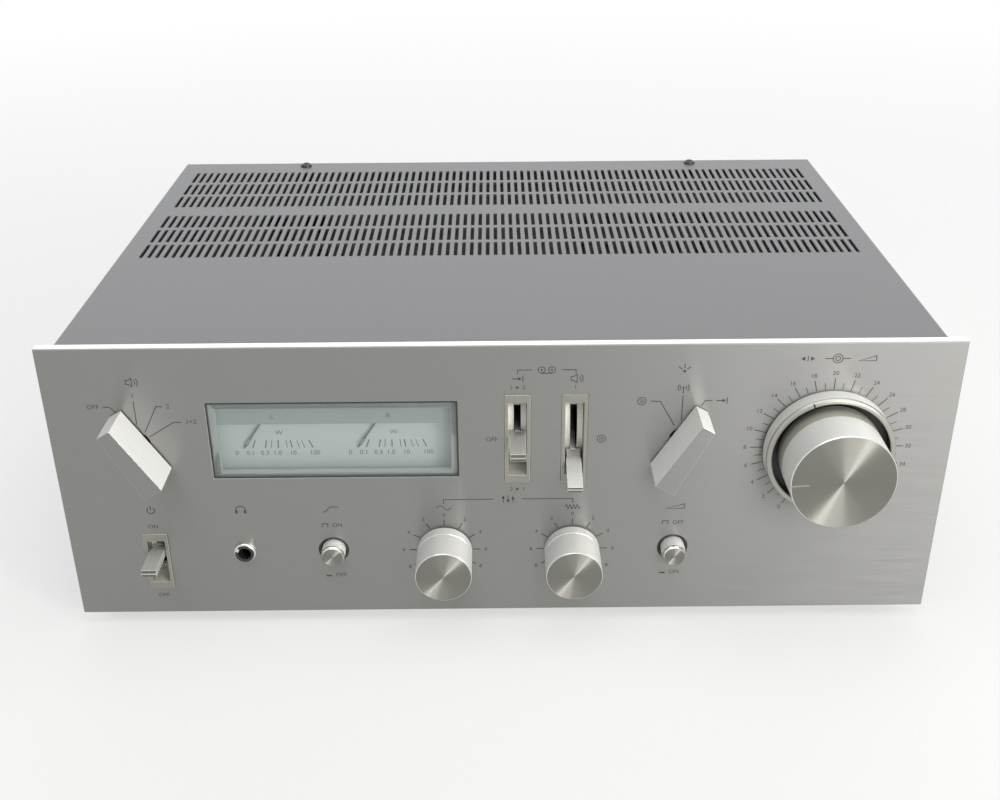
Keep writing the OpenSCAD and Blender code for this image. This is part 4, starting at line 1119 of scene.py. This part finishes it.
def tone_group_marks(marks):
    """A slow and a fast wave over the tone knobs, joined by a sign of three sliders."""
    for node, waves, way in (("bass_knob", 1, 1), ("treble_knob", 4, -1)):
        icon_wave(marks.over(node).at(0, 24.8), waves)
        bracket(marks.over(node), 26.9, 29.6, way * 25)
    left, height = panel_place("bass_knob")
    sliders = marks.at((left + panel_place("treble_knob")[0]) / 2, height + 29.6)
    for u, knob in ((-2.4, 0.8), (0, -0.8), (2.4, 0.3)):
        sliders.stroke([(u, -2), (u, 2)], HAIR)
        sliders.dot(u, knob, 0.65)


def tape_marks(marks):
    """Signs and figures round the copy and monitor levers."""
    left, right = panel_place("copy_lever")[0], panel_place("monitor_lever")[0]
    v = panel_place("tape_bezels")[1]
    dubbing, monitor = marks.at(left, v), marks.at(right, v)
    bracket(dubbing, 35.2, 37.2, 6.6)
    bracket(monitor, 35.2, 37.2, -6.6)
    icon_reels(marks.at((left + right) / 2, v + 37.2))
    icon_input(dubbing.at(0, 32.6))
    icon_speaker(monitor.at(0, 32.6))
    for first, second, height in (("1", "2", 28), ("2", "1", -28)):
        dubbing.text(first, -3, height, FIGURE_TEXT)
        triangle(dubbing.at(0, height), 1, 0.9)
        dubbing.text(second, 3, height, FIGURE_TEXT)
        monitor.text(first, 0, height, FIGURE_TEXT)
    dubbing.text("OFF", -12.4, 0, WORD_TEXT)
    icon_disc(monitor.at(13, 0))


BUTTON_SIGN_RISE = 24.6


def print_panel():
    marks = Print(PANEL_Y)
    selector_marks(marks.over("speakers_shaft"))
    function_marks(marks.over("function_shaft"))
    for node in ("bass_knob", "treble_knob"):
        tone_marks(marks.over(node))
    volume_marks(marks.over("volume_knob"))
    power_marks(marks.over("power_lever"))
    icon_headphones(marks.over("phones_jack").at(0, 25))
    low_filter, loudness = marks.over("low_filter_button"), marks.over("loudness_button")
    icon_filter(low_filter.at(0, BUTTON_SIGN_RISE))
    button_marks(low_filter, 3.5, ("ON", 2.6), ("OFF", 2.8))
    icon_wedge(loudness.at(0, BUTTON_SIGN_RISE), 9)
    button_marks(loudness, 4.5, ("OFF", 2), ("ON", 1.6))
    tone_group_marks(marks)
    tape_marks(marks)
    marks.finish("panel_marks")


print_panel()


# Needles, scales and rear signs

NEEDLE_RISE = 17.2 * MM
TIP_HEIGHT = 0.5 * MM
LANCE_GAP_WIDTH = 0.65 * MM
LANCE_GAP_DEPTH = 3 * MM
LANCE_GAP_ENDS = (2.0 * MM, 6.1 * MM)


def make_needles():
    """Needles whose lance tips are thin frames round a gap."""
    window = centre("meter_window")
    near, far = LANCE_GAP_ENDS
    for side, name, body in ((-1, "left_needle", "left_meter"), (1, "right_needle", "right_meter")):
        bm = cad_copy(name)
        low = min(vert.co.z for vert in bm.verts)
        ends = [vert.co.copy() for vert in bm.verts if vert.co.z < low + TIP_HEIGHT]
        tip = sum(ends, Vector()) / len(ends)
        pivot = Vector((window.x + side * NEEDLE_APART / 2, tip.y, window.z + NEEDLE_RISE))
        along = (pivot - tip).normalized()
        turn = Matrix((REAR.cross(along), REAR, along)).transposed().to_4x4()
        half = Vector((LANCE_GAP_WIDTH, LANCE_GAP_DEPTH, 0)) / 2
        gap = box_cutter(Matrix.Translation(tip) @ turn, near * UP - half, far * UP + half, NEEDLE)
        needle = cut(mesh_object(name + "_shell", bm, NEEDLE), gap)
        dress(needle, body, "needle_black", name)


make_needles()


def print_meter():
    """Scales on the dial and letters on the header strip."""
    marks = Print(DIAL_Y)
    strip = Print(dial_lo.y)
    tick_half, fan = 2.1, 0.06
    ticks = (-12.9, -7, -1, 5.4, 15.1)
    small_ticks = (-4.4, 3.2, 8.8, 11.3)
    numbers = (("0", -21.7), ("0.1", -15), ("0.3", -7.8), ("1.0", -1.7), ("10", 6), ("100", 16.8))
    for side, letter in ((-1, "L"), (1, "R")):
        u = side * NEEDLE_APART / 2 / MM
        scale = marks.over("meter_window").at(u, -7.5)
        for places, width in ((ticks, 0.6), (small_ticks, HAIR)):
            for place in places:
                scale.stroke([((1 + fan) * place, -tick_half), ((1 - fan) * place, tick_half)], width)
        for number, place in numbers:
            scale.text(number, place, -5.1, METER_TEXT)
        scale.text("W", 0, 6.3, METER_TEXT)
        strip.over("meter_window").text(letter, u - 1.8, 10.3, HEADER_TEXT)
    marks.finish("dial_marks")
    strip.finish("strip_marks")


print_meter()

# Height of the earth screw on the rear, in the marks' millimetres
EARTH_V = 53


def print_rear():
    """Signs beside the rear connectors."""
    marks = Print(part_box("rear_panel")[1].y, REAR)

    def grid(node):
        """Columns from left to right and rows from low to high, as seen from the rear."""
        mids = [(lo + hi) / 2 / MM for lo, hi in islands(node)]
        return sorted({round(-m.x, 1) for m in mids}), sorted({round(m.z - PANEL_Z / MM, 1) for m in mids})

    columns, rows = grid("rca_jacks")
    signs = (icon_reels, icon_reels, icon_reels, icon_input, icon_aerial, icon_disc)
    for k, (u, sign) in enumerate(zip(columns, signs)):
        sign(marks.at(u, rows[-1] + 11))
        if sign is icon_reels:
            marks.text(str(3 - k), u, rows[0] - 10, REAR_FIGURE_TEXT)
    for letter, v in zip("RL", rows):
        marks.text(letter, columns[-1] + 10.5, v, REAR_TEXT)

    columns, rows = grid("speaker_sockets")
    icon_speaker(marks.at(sum(columns) / 2, rows[-1] + 18))
    for letter, u in zip("LR", columns):
        marks.text(letter, u, rows[-1] + 13, REAR_TEXT)
    for number, v in zip("21", rows):
        marks.text(number, columns[0] - 14, v, REAR_TEXT)

    earth = marks.at(0, EARTH_V + 12)
    earth.stroke([(0, 2.4), (0, 0)])
    for k in range(3):
        half = 2.4 - 0.8 * k
        earth.stroke([(-half, -1.1 * k), (half, -1.1 * k)])
    marks.finish("rear_marks")


print_rear()


# Floor, light

FLOOR_COLOUR = (0.80, 0.80, 0.79)
FLOOR_HALF = 6
# Distances from the middle between which the floor that is seen turns white, and its white share before that
WHITER_FROM = 0.45
WHITE_FROM = 1.6
NEAR_WHITE = 0.5
SKY_COLOUR = (0.93, 0.96, 1.0, 1)
SKY_STRENGTH = 0.3
# Name, place, aim, width and height, power, colour
LAMPS = (
    ("wall", (0, 2.0, 1.15), (0, 0, 0.5), (4.5, 2.1), 32, (0.97, 0.99, 1)),
    ("ceiling", (0.1, -0.35, 1.6), (0.05, -0.15, 0), (2.2, 1.6), 17.5, (1, 0.99, 0.96)),
    ("right", (1.15, -1.24, 0.56), (0.17, -0.2, 0.08), (0.32, 0.32), 11, (1, 0.98, 0.95)),
    ("right_front", (0.72, -1.5, 0.6), (0.2, -0.15, 0.1), (0.7, 0.9), 8.5, (1, 0.98, 0.96)),
)


def math_of(tree, operation, first, second):
    node = tree.nodes.new("ShaderNodeMath")
    node.operation = operation
    tree.links.new(first, node.inputs[0])
    tree.links.new(second, node.inputs[1])
    return node.outputs[0]


def seen_rays(tree):
    """1 for rays that show the surroundings to the camera, also by reflection or through glass, else 0."""
    rays = tree.nodes.new("ShaderNodeLightPath").outputs
    mirrored = math_of(tree, "MAXIMUM", rays["Is Camera Ray"], rays["Is Glossy Ray"])
    return math_of(tree, "MAXIMUM", mirrored, rays["Is Transmission Ray"])


def mix_to(tree, output, share, plain, white):
    """Links a mix of two shaders to an output node."""
    mix = tree.nodes.new("ShaderNodeMixShader")
    tree.links.new(share, mix.inputs["Fac"])
    tree.links.new(plain, mix.inputs[1])
    tree.links.new(white, mix.inputs[2])
    tree.links.new(mix.outputs["Shader"], tree.nodes[output].inputs["Surface"])


def make_floor():
    """A pale floor with the object's shadow, which looks half white near it and all white far away."""
    material = surface("floor_pale", FLOOR_COLOUR, 0.8, scale=3, vary=0.01, bump=0)
    tree = material.node_tree
    coords = tree.nodes.new("ShaderNodeTexCoord")
    away = vector_math(tree, "LENGTH", coords.outputs["Object"])["Value"]
    whiter = spread(tree, away, NEAR_WHITE, 1.0, WHITER_FROM, WHITE_FROM)
    share = math_of(tree, "MULTIPLY", seen_rays(tree), whiter)
    white = tree.nodes.new("ShaderNodeEmission").outputs["Emission"]
    mix_to(tree, "Material Output", share, tree.nodes["Principled BSDF"].outputs["BSDF"], white)
    bm = bmesh.new()
    bmesh.ops.create_grid(bm, x_segments=1, y_segments=1, size=FLOOR_HALF)
    mesh_object("floor", bm, material)


def make_lamp(name, at, aim, size, power, colour):
    data = bpy.data.lights.new(name, "AREA")
    data.shape = "RECTANGLE"
    data.size, data.size_y = size
    data.energy = power
    data.color = colour
    obj = link(bpy.data.objects.new(name, data))
    obj.location = at
    obj.rotation_euler = (Vector(aim) - Vector(at)).to_track_quat("-Z", "Y").to_euler()
    obj.visible_camera = False


def make_light():
    """A dim sky that looks white, and soft lamps."""
    world = bpy.data.worlds.new("studio")
    bpy.context.scene.world = world
    world.use_nodes = True
    tree = world.node_tree
    sky = preset(tree.nodes["Background"], {"Color": SKY_COLOUR, "Strength": SKY_STRENGTH})
    white = preset(tree.nodes.new("ShaderNodeBackground"), {"Color": (1, 1, 1, 1), "Strength": 1})
    mix_to(tree, "World Output", seen_rays(tree), sky.outputs["Background"], white.outputs["Background"])
    for lamp in LAMPS:
        make_lamp(*lamp)


make_floor()
make_light()
bpy.context.scene.view_settings.view_transform = "Standard"
